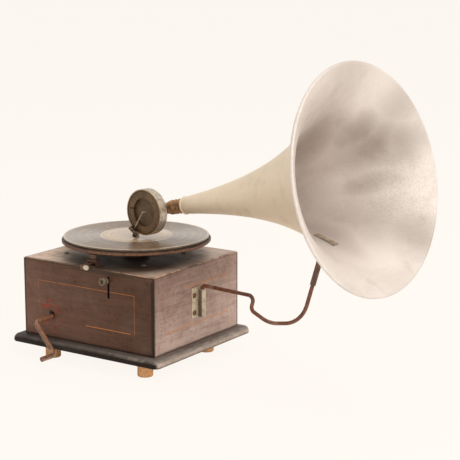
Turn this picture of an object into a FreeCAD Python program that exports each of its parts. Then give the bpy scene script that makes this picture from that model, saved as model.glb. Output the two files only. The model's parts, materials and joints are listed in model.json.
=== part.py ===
import FreeCAD, Part
import math
import os
import re
import Sketcher

# A small table gramophone with a front crank, a seven-inch disc and an aluminium horn on a bent-wire arm.
# Millimetres and degrees. X runs along the front to the right, Y to the back, Z up from the floor.
# Pieces are first placed round the middle of the case's footprint. At the end everything moves together
# so that the origin is the middle of the whole object's footprint box, on the floor.

os.makedirs("parts", exist_ok=True)
Vector = FreeCAD.Vector
Placement = FreeCAD.Placement
Rotation = FreeCAD.Rotation
X_AXIS = Vector(1, 0, 0)
Y_AXIS = Vector(0, 1, 0)
Z_AXIS = Vector(0, 0, 1)

doc = FreeCAD.newDocument("HornGramophone")
sheet = doc.addObject("Spreadsheet::Sheet", "Sizes")

DIMENSIONS = [
    # Case
    ("case_width", 196.0),
    ("case_depth", 170.0),
    ("case_height", 94.5),
    ("wall_thickness", 9.0),
    ("top_thickness", 6.0),
    ("top_chamfer", 1.2),
    ("plinth_height", 9.6),
    ("plinth_overhang", 12.5),
    ("plinth_nose", 7.0),
    ("plinth_corner", 8.0),
    ("plinth_lip", 1.8),
    ("foot_diameter", 18.4),
    ("foot_height", 16.0),
    ("foot_chamfer", 0.8),
    ("foot_inset_left", 49.5),
    ("foot_inset_right", 31.5),
    ("foot_inset_front", 19.5),
    ("foot_inset_back", 52.5),
    # Disc, turntable and spindle
    ("record_rise", 25.2),
    ("record_diameter", 176.0),
    ("record_thickness", 2.0),
    ("record_edge", 0.5),
    ("felt_diameter", 175.0),
    ("felt_thickness", 1.0),
    ("turntable_diameter", 180.0),
    ("turntable_thickness", 4.4),
    ("turntable_edge", 1.0),
    ("pin_diameter", 7.1),
    ("pin_rise", 6.3),
    ("pin_tip_diameter", 4.0),
    ("pin_taper", 2.2),
    ("disc_hole_clearance", 0.1),
    ("spindle_diameter", 8.0),
    ("spindle_foot_diameter", 5.0),
    ("hub_flange_diameter", 34.0),
    ("hub_flange_thickness", 2.0),
    ("hub_diameter", 15.0),
    ("hub_length", 12.0),
    ("bush_flange_diameter", 32.0),
    ("bush_flange_thickness", 2.5),
    ("bush_diameter", 14.0),
    ("running_clearance", 0.06),
    ("end_shake", 0.3),
    # Crank
    ("crank_height", 26.0),
    ("crank_rod", 6.0),
    ("crank_hole_diameter", 11.0),
    ("crank_hole_rise", 2.2),
    ("crank_reach", 29.0),
    ("crank_arm", 46.0),
    ("crank_lean", 39.5),
    ("crank_handle", 23.0),
    ("crank_bend", 7.0),
    # Motor frame
    ("motor_clearance", 12.0),
    ("plate_thickness", 2.5),
    ("plate_margin_left", 18.0),
    ("plate_margin_right", 50.0),
    ("plate_margin_front", 49.0),
    ("plate_margin_back", 45.0),
    ("pillar_diameter", 7.0),
    ("pillar_inset", 7.0),
    ("screw_diameter", 3.2),
    ("screw_head_diameter", 6.4),
    ("screw_head_height", 1.8),
    ("screw_slot_width", 0.9),
    ("screw_slot_depth", 0.8),
    ("screw_bite", 8.0),
    ("bearing_width", 12.0),
    ("bearing_length", 17.0),
    ("bearing_cap", 5.0),
    ("bearing_gap", 3.0),
    # Gear train
    ("gear_backlash", 0.2),
    ("tooth_addendum", 0.8),
    ("tooth_dedendum", 1.15),
    ("tooth_pressure_angle", 20.0),
    ("barrel_side_gap", 3.8),
    ("barrel_teeth", 56.0),
    ("barrel_module", 1.0),
    ("pinion_teeth", 12.0),
    ("wheel_teeth", 64.0),
    ("wheel_module", 0.8),
    ("governor_wheel_teeth", 70.0),
    ("governor_pinion_teeth", 10.0),
    ("governor_module", 0.7),
    ("winding_pinion_teeth", 12.0),
    ("winding_wheel_teeth", 36.0),
    ("winding_module", 1.222),
    ("winding_backlash", 0.75),
    ("winding_tooth_length", 5.0),
    ("winding_pinion_length", 8.0),
    ("winding_disc_thickness", 2.0),
    ("arbor_diameter", 8.0),
    ("arbor_core_diameter", 14.0),
    ("arbor_pivot_diameter", 6.0),
    ("barrel_rise", 23.5),
    ("barrel_gear_thickness", 4.0),
    ("barrel_diameter", 52.0),
    ("barrel_wall", 2.0),
    ("barrel_height", 26.0),
    ("barrel_lid_thickness", 2.0),
    ("mainspring_turns", 9.0),
    ("mainspring_thickness", 0.5),
    ("mainspring_clearance", 0.6),
    ("wheel_rise", 7.5),
    ("wheel_thickness", 3.0),
    ("pinion_overlap", 2.0),
    ("train_arbor_diameter", 5.0),
    ("train_pivot_diameter", 3.0),
    ("governor_wheel_rise", 17.5),
    ("ratchet_diameter", 22.0),
    ("ratchet_teeth", 12.0),
    ("ratchet_depth", 2.0),
    ("ratchet_thickness", 2.6),
    ("ratchet_gap", 0.5),
    ("click_length", 17.0),
    ("click_width", 3.0),
    ("click_clearance", 0.3),
    # Governor and speed lever
    ("governor_bearing_angle", 52.0),
    ("governor_spring_turn", 60.0),
    ("governor_shaft_diameter", 3.0),
    ("governor_collar_diameter", 8.0),
    ("governor_collar_height", 3.0),
    ("governor_disc_diameter", 22.0),
    ("governor_disc_thickness", 2.4),
    ("governor_spring_thickness", 0.4),
    ("governor_spring_width", 3.0),
    ("governor_spring_bow", 5.0),
    ("governor_weight_diameter", 8.0),
    ("governor_weight_gap", 0.05),
    ("slot_shift_right", 24.0),
    ("slot_width", 2.6),
    ("slot_bottom", 61.1),
    ("slot_height", 25.7),
    ("lever_thickness", 1.6),
    ("lever_height", 5.0),
    ("lever_below_slot_top", 5.0),
    ("lever_pivot_drop", 10.0),
    ("lever_pivot_inset", 80.0),
    ("lever_tail", 31.0),
    ("lever_reach", 8.0),
    ("lever_pin_diameter", 3.0),
    ("lever_bracket_thickness", 3.0),
    ("lever_bracket_width", 10.0),
    ("lever_side_gap", 1.0),
    ("pad_thickness", 2.0),
    ("pad_length", 6.0),
    ("pad_clearance", 0.8),
    ("knob_diameter", 8.8),
    ("knob_length", 7.0),
    ("knob_recess_diameter", 6.2),
    ("knob_recess_depth", 3.0),
    ("knob_grip", 3.0),
    # Brake on the top board
    ("brake_shift_right", 3.0),
    ("brake_edge_gap", 1.0),
    ("brake_setback", 7.0),
    ("brake_sheet", 1.5),
    ("brake_width", 12.0),
    ("brake_base_depth", 16.0),
    ("brake_pivot_rise", 6.5),
    ("brake_pin_diameter", 3.0),
    ("brake_sleeve_diameter", 5.4),
    ("brake_side_gap", 0.5),
    ("brake_pad_length", 5.0),
    ("brake_pad_height", 3.2),
    ("brake_pad_setback", 4.0),
    ("brake_pad_clearance", 0.5),
    ("brake_tab_width", 12.0),
    ("brake_tab_height", 6.4),
    ("brake_tab_round", 2.8),
    ("brake_tab_reach", 15.0),
    ("brake_tab_drop", 5.6),
    ("brake_tab_shift", 0.4),
    ("brake_strip_width", 6.0),
    # Horn bracket and wire arm
    ("bracket_bottom", 31.0),
    ("bracket_height", 33.0),
    ("bracket_leaf", 16.6),
    ("bracket_leaf_rise", 3.0),
    ("bracket_sheet", 1.2),
    ("bracket_setback", 4.0),
    ("knuckle_diameter", 8.4),
    ("bracket_screw_inset", 4.5),
    ("bracket_screw_end", 6.0),
    ("arm_wire", 4.5),
    ("arm_clearance", 0.08),
    ("arm_swing", -7.0),
    ("arm_rise", 4.6),
    ("arm_bend", 5.0),
    ("arm_kink_out", 81.0),
    ("arm_kink_back", 75.0),
    ("arm_kink_drop", 17.0),
    ("arm_kink_bend", 6.0),
    ("arm_dip_start", 103.0),
    ("arm_dip_end", 150.0),
    ("arm_dip_drop", 28.2),
    ("arm_dip_lift", 8.7),
    ("arm_dip_bend", 40.0),
    ("ferrule_diameter", 6.6),
    ("ferrule_length", 36.0),
    ("ferrule_tongue", 9.0),
    ("ferrule_tongue_thickness", 5.0),
    # Horn
    ("throat_back", 26.7),
    ("throat_rise", 41.5),
    ("horn_elevation", 13.0),
    ("horn_length", 272.0),
    ("mouth_radius", 126.5),
    ("throat_radius", 9.1),
    ("horn_lip_swell", 0.09),
    ("horn_lip_power", 12.0),
    ("horn_wall", 0.8),
    ("horn_bead", 1.9),
    ("spigot_length", 9.0),
    ("throat_bead", 1.1),
    ("horn_foot_station", 200.5),
    ("horn_foot_length", 29.0),
    ("horn_foot_width", 8.0),
    ("horn_foot_sheet", 1.4),
    ("horn_foot_seat", 0.15),
    ("horn_foot_ear", 1.6),
    ("horn_foot_ear_length", 9.0),
    ("horn_foot_pin_distance", 10.0),
    ("horn_foot_pin_diameter", 3.0),
    ("horn_foot_side_gap", 0.3),
    ("rivet_diameter", 2.6),
    ("rivet_head_diameter", 4.6),
    ("rivet_head_height", 1.0),
    ("rivet_spacing", 19.0),
    ("rivet_seat", 0.05),
    # Sound box
    ("neck_radius", 7.2),
    ("neck_wall", 1.5),
    ("neck_bore_wall", 0.8),
    ("neck_length", 23.5),
    ("elbow_bend", 10.0),
    ("elbow_wall", 1.6),
    ("box_setback", 40.7),
    ("box_offset", 17.0),
    ("box_diameter", 55.2),
    ("box_depth", 13.0),
    ("box_wall", 2.2),
    ("box_back", 2.0),
    ("box_boss_diameter", 20.0),
    ("box_boss_height", 3.0),
    ("box_ledge_width", 3.4),
    ("box_ledge_height", 6.2),
    ("box_edge", 1.2),
    ("gasket_width", 3.6),
    ("gasket_thickness", 1.5),
    ("diaphragm_thickness", 0.5),
    ("ring_clearance", 0.2),
    ("ring_opening", 34.0),
    ("ring_lip", 1.8),
    ("ring_setback", 0.4),
    ("stylus_lean", 33.4),
    ("stylus_bar_diameter", 1.6),
    ("stylus_foot_diameter", 2.6),
    ("stylus_clearance", 0.9),
    ("bridge_length", 9.0),
    ("bridge_width", 3.0),
    ("bridge_height", 4.0),
    ("bridge_pin_diameter", 1.2),
    ("bridge_slot_gap", 0.5),
    ("holder_diameter", 3.4),
    ("holder_back", 6.8),
    ("holder_front", 7.0),
    ("holder_gap", 0.4),
    ("needle_diameter", 1.5),
    ("needle_grip", 4.0),
    ("needle_taper", 7.0),
    ("needle_gap", 0.3),
    ("thumb_diameter", 5.2),
    ("thumb_thickness", 1.6),
    ("thumb_shank", 1.6),
    ("thumb_station", 4.6),
    ("face_screw_diameter", 1.4),
    ("face_screw_head", 2.8),
    ("face_screw_height", 0.7),
    ("face_screw_inset", 3.6),
    ("face_screw_turn", 55.0),
]

for row, (alias, number) in enumerate(DIMENSIONS, start=1):
    sheet.set(f"A{row}", alias)
    sheet.set(f"B{row}", str(number))
    sheet.setAlias(f"B{row}", alias)
doc.recompute()
ALIASES = {alias for alias, _ in DIMENSIONS}
PIECES = []


def size(alias):
    """A driving dimension, read from the sheet."""
    return float(sheet.get(alias))


def bound(text):
    """An expression on the sheet's cells, written with their bare names."""
    return re.sub(r"[a-z_]+", lambda word: f"Sizes.{word[0]}" if word[0] in ALIASES else word[0], text)


def bind(item, **sizes):
    for name, text in sizes.items():
        item.setExpression(name, bound(text))
    return item


def at(x=0.0, y=0.0, z=0.0, axis=Z_AXIS, angle=0.0):
    return Placement(Vector(x, y, z), Rotation(axis, angle))


def put(item, place):
    item.Placement = place
    return item


def box(length, width, height, place):
    return put(bind(doc.addObject("Part::Box", "Block"), Length=length, Width=width, Height=height), place)


def cylinder(diameter, height, place):
    item = doc.addObject("Part::Cylinder", "Rod")
    return put(bind(item, Radius=f"({diameter}) / 2", Height=height), place)


def ball(diameter, place):
    return put(bind(doc.addObject("Part::Sphere", "Ball"), Radius=f"({diameter}) / 2"), place)


def dome(diameter, height, place):
    """Half an ellipsoid standing on its flat side."""
    item = doc.addObject("Part::Ellipsoid", "Dome")
    item.Angle1 = 0
    item.Angle2 = 90
    return put(bind(item, Radius1=height, Radius2=f"({diameter}) / 2", Radius3=f"({diameter}) / 2"), place)


def cut(base, *tools):
    for tool in tools:
        result = doc.addObject("Part::Cut", "Cut")
        result.Base = base
        result.Tool = tool
        base = result
    return base


def fuse(*items):
    result = doc.addObject("Part::MultiFuse", "Union")
    result.Shapes = list(items)
    return result


def group(*items):
    result = doc.addObject("Part::Compound", "Group")
    result.Links = list(items)
    return result


def made(shape, place=Placement()):
    """A shape that no standard feature makes, kept as a feature of the document."""
    item = doc.addObject("Part::Feature", "Form")
    item.Shape = shape
    item.Placement = place
    return item


def piece(label, item):
    """Name a finished sub-part and list it for export."""
    item.Label = label
    PIECES.append(item)
    return item


def origin_plane(body, role):
    return next(item for item in body.Origin.OriginFeatures if item.Role == role)


def outline(body, role, corners):
    """A closed sketch of straight lines whose corners are each held by two bound dimensions."""
    sketch = body.newObject("Sketcher::SketchObject", "Outline")
    sketch.AttachmentSupport = [(origin_plane(body, role), "")]
    sketch.MapMode = "FlatFace"
    count = len(corners)
    for index in range(count):
        start = Vector(index, index * index + 1, 0)
        end = Vector(index + 1, (index + 1) ** 2 + 1, 0)
        sketch.addGeometry(Part.LineSegment(start, end), False)
    for index in range(count):
        sketch.addConstraint(Sketcher.Constraint("Coincident", index, 2, (index + 1) % count, 1))
    for index, corner in enumerate(corners):
        for kind, axis, text in zip(("DistanceX", "DistanceY"), (-2, -1), corner):
            if text == "0":
                sketch.addConstraint(Sketcher.Constraint("PointOnObject", index, 1, axis))
                continue
            number = sketch.addConstraint(Sketcher.Constraint(kind, -1, 1, index, 1, 1.0 + index))
            sketch.setExpression(f"Constraints[{number}]", bound(text))
    return sketch


def turned(corners, place):
    """A body turned about its own Z axis from (radius, height) corners."""
    body = doc.addObject("PartDesign::Body", "Turned")
    sketch = outline(body, "XZ_Plane", corners)
    turn = body.newObject("PartDesign::Revolution", "Turn")
    turn.Profile = sketch
    turn.ReferenceAxis = (sketch, ["V_Axis"])
    turn.Angle = 360
    return put(body, place)


def slab(corners, thickness, place):
    """A body padded up from an outline on its own XY plane."""
    body = doc.addObject("PartDesign::Body", "Slab")
    sketch = outline(body, "XY_Plane", corners)
    pad = body.newObject("PartDesign::Pad", "Pad")
    pad.Profile = sketch
    pad.setExpression("Length", bound(thickness))
    return put(body, place)


def edged(body, kind, amount, chosen):
    """Round or bevel the edges of a body's last feature that a test picks."""
    doc.recompute()
    last = body.Tip
    names = [f"Edge{number}" for number, edge in enumerate(last.Shape.Edges, start=1) if chosen(edge)]
    feature = body.newObject(f"PartDesign::{kind}", kind)
    feature.Base = (last, names)
    feature.setExpression("Radius" if kind == "Fillet" else "Size", bound(amount))
    body.Tip = feature
    return body


def bent_path(points, bends):
    """A line through the points, with each inner corner rounded to its bend radius."""
    edges = []
    last = points[0]
    for before, corner, after, radius in zip(points, points[1:], points[2:], bends):
        inward = (before - corner).normalize()
        onward = (after - corner).normalize()
        half = inward.getAngle(onward) / 2
        start = corner + inward * (radius / math.tan(half))
        end = corner + onward * (radius / math.tan(half))
        bisector = (inward + onward).normalize()
        middle = corner + bisector * (radius / math.sin(half) - radius)
        edges.append(Part.LineSegment(last, start).toShape())
        edges.append(Part.Arc(start, middle, end).toShape())
        last = end
    edges.append(Part.LineSegment(last, points[-1]).toShape())
    return Part.Wire(edges)


def bent_rod(points, bends, radius):
    """A round rod swept along a bent path."""
    path = bent_path(points, bends)
    direction = points[1] - points[0]
    ring = Part.Wire([Part.Circle(points[0], direction, radius).toShape()])
    return path.makePipeShell([ring], True, False)


def gear_shape(teeth, module, width, bore_radius, phase):
    """A spur gear on the XY plane: stub involute teeth, with tooth number one centred on the phase angle."""
    pressure = math.radians(size("tooth_pressure_angle"))
    flank_steps = 4
    pitch = teeth * module / 2
    base = pitch * math.cos(pressure)
    tip = pitch + size("tooth_addendum") * module
    root = pitch - size("tooth_dedendum") * module
    half_tooth = math.pi / (2 * teeth) - size("gear_backlash") / (2 * pitch)

    def spread(angle):
        return math.tan(angle) - angle

    def half_angle(radius):
        if radius <= base:
            return half_tooth + spread(pressure)
        return half_tooth + spread(pressure) - spread(math.acos(base / radius))

    start = max(base, root)
    radii = [start + (tip - start) * step / flank_steps for step in range(flank_steps + 1)]
    if root < base:
        radii.insert(0, root)
    corners = []
    for tooth in range(int(teeth)):
        middle = phase + tooth * 2 * math.pi / teeth
        for side, order in ((-1, radii), (1, reversed(radii))):
            for radius in order:
                angle = middle + side * half_angle(radius)
                corners.append(Vector(radius * math.cos(angle), radius * math.sin(angle), 0))
    corners.append(corners[0])
    body = Part.Face(Part.makePolygon(corners)).extrude(Vector(0, 0, width))
    if bore_radius > 0:
        body = body.cut(Part.makeCylinder(bore_radius, width))
    return body


# Levels and centre lines that several pieces share
half_width = size("case_width") / 2
half_depth = size("case_depth") / 2
case_floor = size("foot_height") + size("plinth_height")
case_top = case_floor + size("case_height")
board_under = case_top - size("top_thickness")
record_top = case_top + size("record_rise")
felt_top = record_top - size("record_thickness")
table_top = felt_top - size("felt_thickness")
table_under = table_top - size("turntable_thickness")
bottom_plate = case_floor + size("motor_clearance")
motor_floor = bottom_plate + size("plate_thickness")
top_plate = board_under - size("plate_thickness")
clearance = size("running_clearance")

# The spring motor is set against the left side, and the spindle follows from the gears
barrel_distance = (size("barrel_teeth") + size("pinion_teeth")) * size("barrel_module") / 2
wheel_distance = (size("wheel_teeth") + size("pinion_teeth")) * size("wheel_module") / 2
barrel_reach = (size("barrel_teeth") / 2 + size("tooth_addendum")) * size("barrel_module")
barrel_x = -half_width + size("wall_thickness") + size("barrel_side_gap") + barrel_reach
wheel_x = barrel_x + barrel_distance
spindle_x = wheel_x + wheel_distance
spindle_y = 0.0
slot_x = spindle_x + size("slot_shift_right")
crank_z = case_floor + size("crank_height")
governor_teeth = size("governor_wheel_teeth") + size("governor_pinion_teeth")
governor_distance = governor_teeth * size("governor_module") / 2
governor_turn = math.radians(size("governor_bearing_angle"))
governor_x = spindle_x + governor_distance * math.cos(governor_turn)
governor_y = spindle_y + governor_distance * math.sin(governor_turn)


def build_case():
    wall_height = "case_height - top_thickness"
    front_y = -half_depth
    left = box("wall_thickness", "case_depth", wall_height, at(-half_width, front_y, case_floor))
    piece("case_left", left)
    right_x = half_width - size("wall_thickness")
    right = box("wall_thickness", "case_depth", wall_height, at(right_x, front_y, case_floor))
    holes = [cylinder("screw_diameter", "wall_thickness", at(right_x, y, z, Y_AXIS, 90))
             for y, z in bracket_screw_places()]
    piece("case_right", cut(right, *holes))
    inner_x = -half_width + size("wall_thickness")
    inner_width = "case_width - 2 * wall_thickness"
    front = box(inner_width, "wall_thickness", wall_height, at(inner_x, front_y, case_floor))
    hole = cylinder("crank_hole_diameter", "wall_thickness",
                    at(barrel_x, front_y, crank_z + size("crank_hole_rise"), X_AXIS, -90))
    slot_left = slot_x - size("slot_width") / 2
    slot = box("slot_width", "wall_thickness", "slot_height",
               at(slot_left, front_y, case_floor + size("slot_bottom")))
    piece("case_front", cut(front, hole, slot))
    piece("case_back", box(inner_width, "wall_thickness", wall_height,
                           at(inner_x, half_depth - size("wall_thickness"), case_floor)))


def rectangle(length, width):
    return [(f"-({length}) / 2", f"-({width}) / 2"), (f"({length}) / 2", f"-({width}) / 2"),
            (f"({length}) / 2", f"({width}) / 2"), (f"-({length}) / 2", f"({width}) / 2")]


def build_top_board():
    board = slab(rectangle("case_width", "case_depth"), "top_thickness", at(z=board_under))
    edged(board, "Chamfer", "top_chamfer",
          lambda edge: abs(edge.CenterOfMass.z - size("top_thickness")) < 1e-6)
    holes = [cylinder("bush_diameter", "top_thickness", at(spindle_x, spindle_y, board_under))]
    for x, y in pillar_places():
        holes.append(cylinder("screw_diameter", "top_thickness", at(x, y, board_under)))
    for x, y in brake_screw_places():
        holes.append(cylinder("screw_diameter", "top_thickness", at(x, y, board_under)))
    piece("top_board", cut(board, *holes))


def build_plinth():
    plinth = slab(rectangle("case_width + 2 * plinth_overhang", "case_depth + 2 * plinth_overhang"),
                  "plinth_height", at(z=size("foot_height")))
    height = size("plinth_height")
    edged(plinth, "Fillet", "plinth_corner", lambda edge: edge.BoundBox.ZLength > height / 2)
    edged(plinth, "Fillet", "plinth_nose", lambda edge: edge.BoundBox.ZMin > height - 1e-6)
    edged(plinth, "Fillet", "plinth_lip", lambda edge: edge.BoundBox.ZMax < 1e-6)
    piece("plinth", plinth)


def build_feet():
    reach_x = half_width + size("plinth_overhang")
    reach_y = half_depth + size("plinth_overhang")
    corners = [("0", "0"), ("foot_diameter / 2 - foot_chamfer", "0"), ("foot_diameter / 2", "foot_chamfer"),
               ("foot_diameter / 2", "foot_height"), ("0", "foot_height")]
    feet = []
    for x in (-reach_x + size("foot_inset_left"), reach_x - size("foot_inset_right")):
        for y in (-reach_y + size("foot_inset_front"), reach_y - size("foot_inset_back")):
            feet.append(turned(corners, at(x, y, 0)))
    piece("cork_feet", group(*feet))


def pillar_places():
    left = barrel_x - size("plate_margin_left") + size("pillar_inset")
    right = spindle_x + size("plate_margin_right") - size("pillar_inset")
    front = spindle_y - size("plate_margin_front") + size("pillar_inset")
    back = spindle_y + size("plate_margin_back") - size("pillar_inset")
    return [(x, y) for x in (left, right) for y in (front, back)]


def length_of(text):
    """The value of a sum of sheet names."""
    return sum(size(name.strip()) for name in text.split("+"))


def slotted_screw(bite, place):
    """A slotted round-head screw: the head stands on its own XY plane and the shank goes down from it."""
    shank = cylinder("screw_diameter", bite, at(z=-length_of(bite)))
    head = dome("screw_head_diameter", "screw_head_height", Placement())
    slot = box("screw_head_diameter", "screw_slot_width", "screw_head_height",
               at(-size("screw_head_diameter") / 2, -size("screw_slot_width") / 2,
                  size("screw_head_height") - size("screw_slot_depth")))
    return put(cut(fuse(shank, head), slot), place)


def tube(outer, inner, height, place):
    """A plain ring or pipe, given its two diameters."""
    near = f"({inner}) / 2"
    far = f"({outer}) / 2"
    return turned([(near, "0"), (far, "0"), (far, height), (near, height)], place)


def build_record_stack():
    """Disc, felt, turntable, hub, spindle and its bush, all on the spindle's axis."""
    axis = at(spindle_x, spindle_y, 0)
    hole = "pin_diameter + 2 * disc_hole_clearance"
    edge = "record_diameter / 2"
    bevel = f"{edge} - record_edge"
    piece("record", turned([(f"({hole}) / 2", "0"), (bevel, "0"), (edge, "record_edge"),
                            (edge, "record_thickness - record_edge"), (bevel, "record_thickness"),
                            (f"({hole}) / 2", "record_thickness")], axis * at(z=felt_top)))
    piece("felt_mat", tube("felt_diameter", hole, "felt_thickness", axis * at(z=table_top)))
    rim = "turntable_diameter / 2"
    piece("turntable", turned([("spindle_diameter / 2", "0"), (f"{rim} - turntable_edge", "0"),
                               (rim, "turntable_edge"), (rim, "turntable_thickness - turntable_edge"),
                               (f"{rim} - turntable_edge", "turntable_thickness"),
                               ("spindle_diameter / 2", "turntable_thickness")], axis * at(z=table_under)))
    bore = "spindle_diameter / 2"
    boss = "hub_diameter / 2"
    flange = "hub_flange_diameter / 2"
    piece("turntable_hub", turned([(bore, "-hub_length"), (boss, "-hub_length"),
                                   (boss, "-hub_flange_thickness"), (flange, "-hub_flange_thickness"),
                                   (flange, "0"), (bore, "0")],
                                  axis * at(z=table_under)))
    bore = "spindle_diameter / 2 + running_clearance"
    boss = "bush_diameter / 2"
    flange = "bush_flange_diameter / 2"
    top = "top_thickness + bush_flange_thickness"
    piece("spindle_bush", turned([(bore, "0"), (boss, "0"), (boss, "top_thickness"),
                                  (flange, "top_thickness"), (flange, top), (bore, top)],
                                 axis * at(z=board_under)))


def shaft(steps, place):
    """A stepped round bar from (diameter, length) steps, bottom first."""
    height = 0.0
    bars = []
    for diameter, length in steps:
        item = doc.addObject("Part::Cylinder", "Step")
        item.setExpression("Radius", bound(f"({diameter}) / 2"))
        item.Height = length
        bars.append(put(item, at(z=height)))
        height += length
    return put(fuse(*bars), place)


def spur(teeth, module, width, bore, phase, x, y, z):
    shape = gear_shape(size(teeth), size(module), width, size(bore) / 2 if bore else 0.0, phase)
    return made(shape, at(x, y, z))


shoulder = size("end_shake")
barrel_floor = motor_floor + size("barrel_rise")
barrel_inside = barrel_floor + size("barrel_gear_thickness")
barrel_roof = barrel_inside + size("barrel_height")
wheel_floor = motor_floor + size("wheel_rise")
governor_wheel_floor = motor_floor + size("governor_wheel_rise")
pinion_overlap = size("pinion_overlap")


def build_spindle():
    foot = ("spindle_foot_diameter", motor_floor - bottom_plate + shoulder)
    body_start = motor_floor + shoulder
    steps = [foot, ("spindle_diameter", table_top - body_start),
             ("pin_diameter", record_top + size("pin_rise") - size("pin_taper") - table_top)]
    bar = shaft(steps, at(spindle_x, spindle_y, bottom_plate))
    tip = turned([("0", "0"), ("pin_diameter / 2", "0"), ("pin_tip_diameter / 2", "pin_taper"),
                  ("0", "pin_taper")],
                 at(spindle_x, spindle_y, record_top + size("pin_rise") - size("pin_taper")))
    teeth = size("pinion_teeth")
    pinion = spur("pinion_teeth", "wheel_module", size("wheel_thickness") + 2 * pinion_overlap, "",
                  math.pi + math.pi / teeth, spindle_x, spindle_y, wheel_floor - pinion_overlap)
    piece("spindle", fuse(bar, tip, pinion))
    wheel = spur("governor_wheel_teeth", "governor_module", size("wheel_thickness"), "spindle_diameter",
                 governor_turn, spindle_x, spindle_y, governor_wheel_floor)
    piece("governor_wheel", wheel)


def build_train():
    body_start = motor_floor + shoulder
    steps = [("train_pivot_diameter", body_start - bottom_plate),
             ("train_arbor_diameter", top_plate - shoulder - body_start),
             ("train_pivot_diameter", board_under - top_plate + shoulder)]
    bar = shaft(steps, at(wheel_x, spindle_y, bottom_plate))
    phase = math.pi + math.pi / size("pinion_teeth")
    pinion = spur("pinion_teeth", "barrel_module", size("barrel_gear_thickness") + 2 * pinion_overlap, "",
                  phase, wheel_x, spindle_y, barrel_floor - pinion_overlap)
    piece("train_arbor", fuse(bar, pinion))
    piece("train_wheel", spur("wheel_teeth", "wheel_module", size("wheel_thickness"), "train_arbor_diameter",
                              0.0, wheel_x, spindle_y, wheel_floor))


def spiral_strip(inner, outer, turns, thickness, height):
    """A flat coil of half circles whose radius grows by half a pitch at each half turn."""
    half_pitch = (outer - inner - thickness) / (2 * turns)
    first = inner + thickness / 2
    sides = {1: [], -1: []}
    for half_turn in range(int(2 * turns)):
        centre = Vector(-half_pitch if half_turn % 2 else 0.0, 0, 0)
        direction = 1 if half_turn % 2 else -1
        for side, edges in sides.items():
            radius = first + half_turn * half_pitch + side * thickness / 2
            start = centre + Vector(direction * radius, 0, 0)
            middle = centre + Vector(0, direction * radius, 0)
            edges.append(Part.Arc(start, middle, centre - Vector(direction * radius, 0, 0)).toShape())
    outside, inside = sides[1], sides[-1]
    caps = [Part.LineSegment(inside[0].firstVertex().Point, outside[0].firstVertex().Point).toShape(),
            Part.LineSegment(inside[-1].lastVertex().Point, outside[-1].lastVertex().Point).toShape()]
    edges = Part.__sortEdges__(outside + inside + caps)
    return Part.Face(Part.Wire(edges)).extrude(Vector(0, 0, height))


def build_barrel():
    axis = at(barrel_x, spindle_y, 0)
    gear = made(gear_shape(size("barrel_teeth"), size("barrel_module"), size("barrel_gear_thickness"),
                           size("arbor_diameter") / 2 + clearance, 0.0), axis * at(z=barrel_floor))
    drum = tube("barrel_diameter", "barrel_diameter - 2 * barrel_wall", "barrel_height",
                axis * at(z=barrel_inside))
    piece("spring_barrel", fuse(gear, drum))
    lid = tube("barrel_diameter", "arbor_diameter + 2 * running_clearance", "barrel_lid_thickness",
               axis * at(z=barrel_roof))
    piece("barrel_lid", lid)
    gap = size("mainspring_clearance")
    coil = spiral_strip(size("arbor_core_diameter") / 2 + gap,
                        size("barrel_diameter") / 2 - size("barrel_wall") - clearance,
                        size("mainspring_turns"), size("mainspring_thickness"),
                        size("barrel_height") - 2 * gap)
    piece("mainspring", made(coil, axis * at(z=barrel_inside + gap)))


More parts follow.
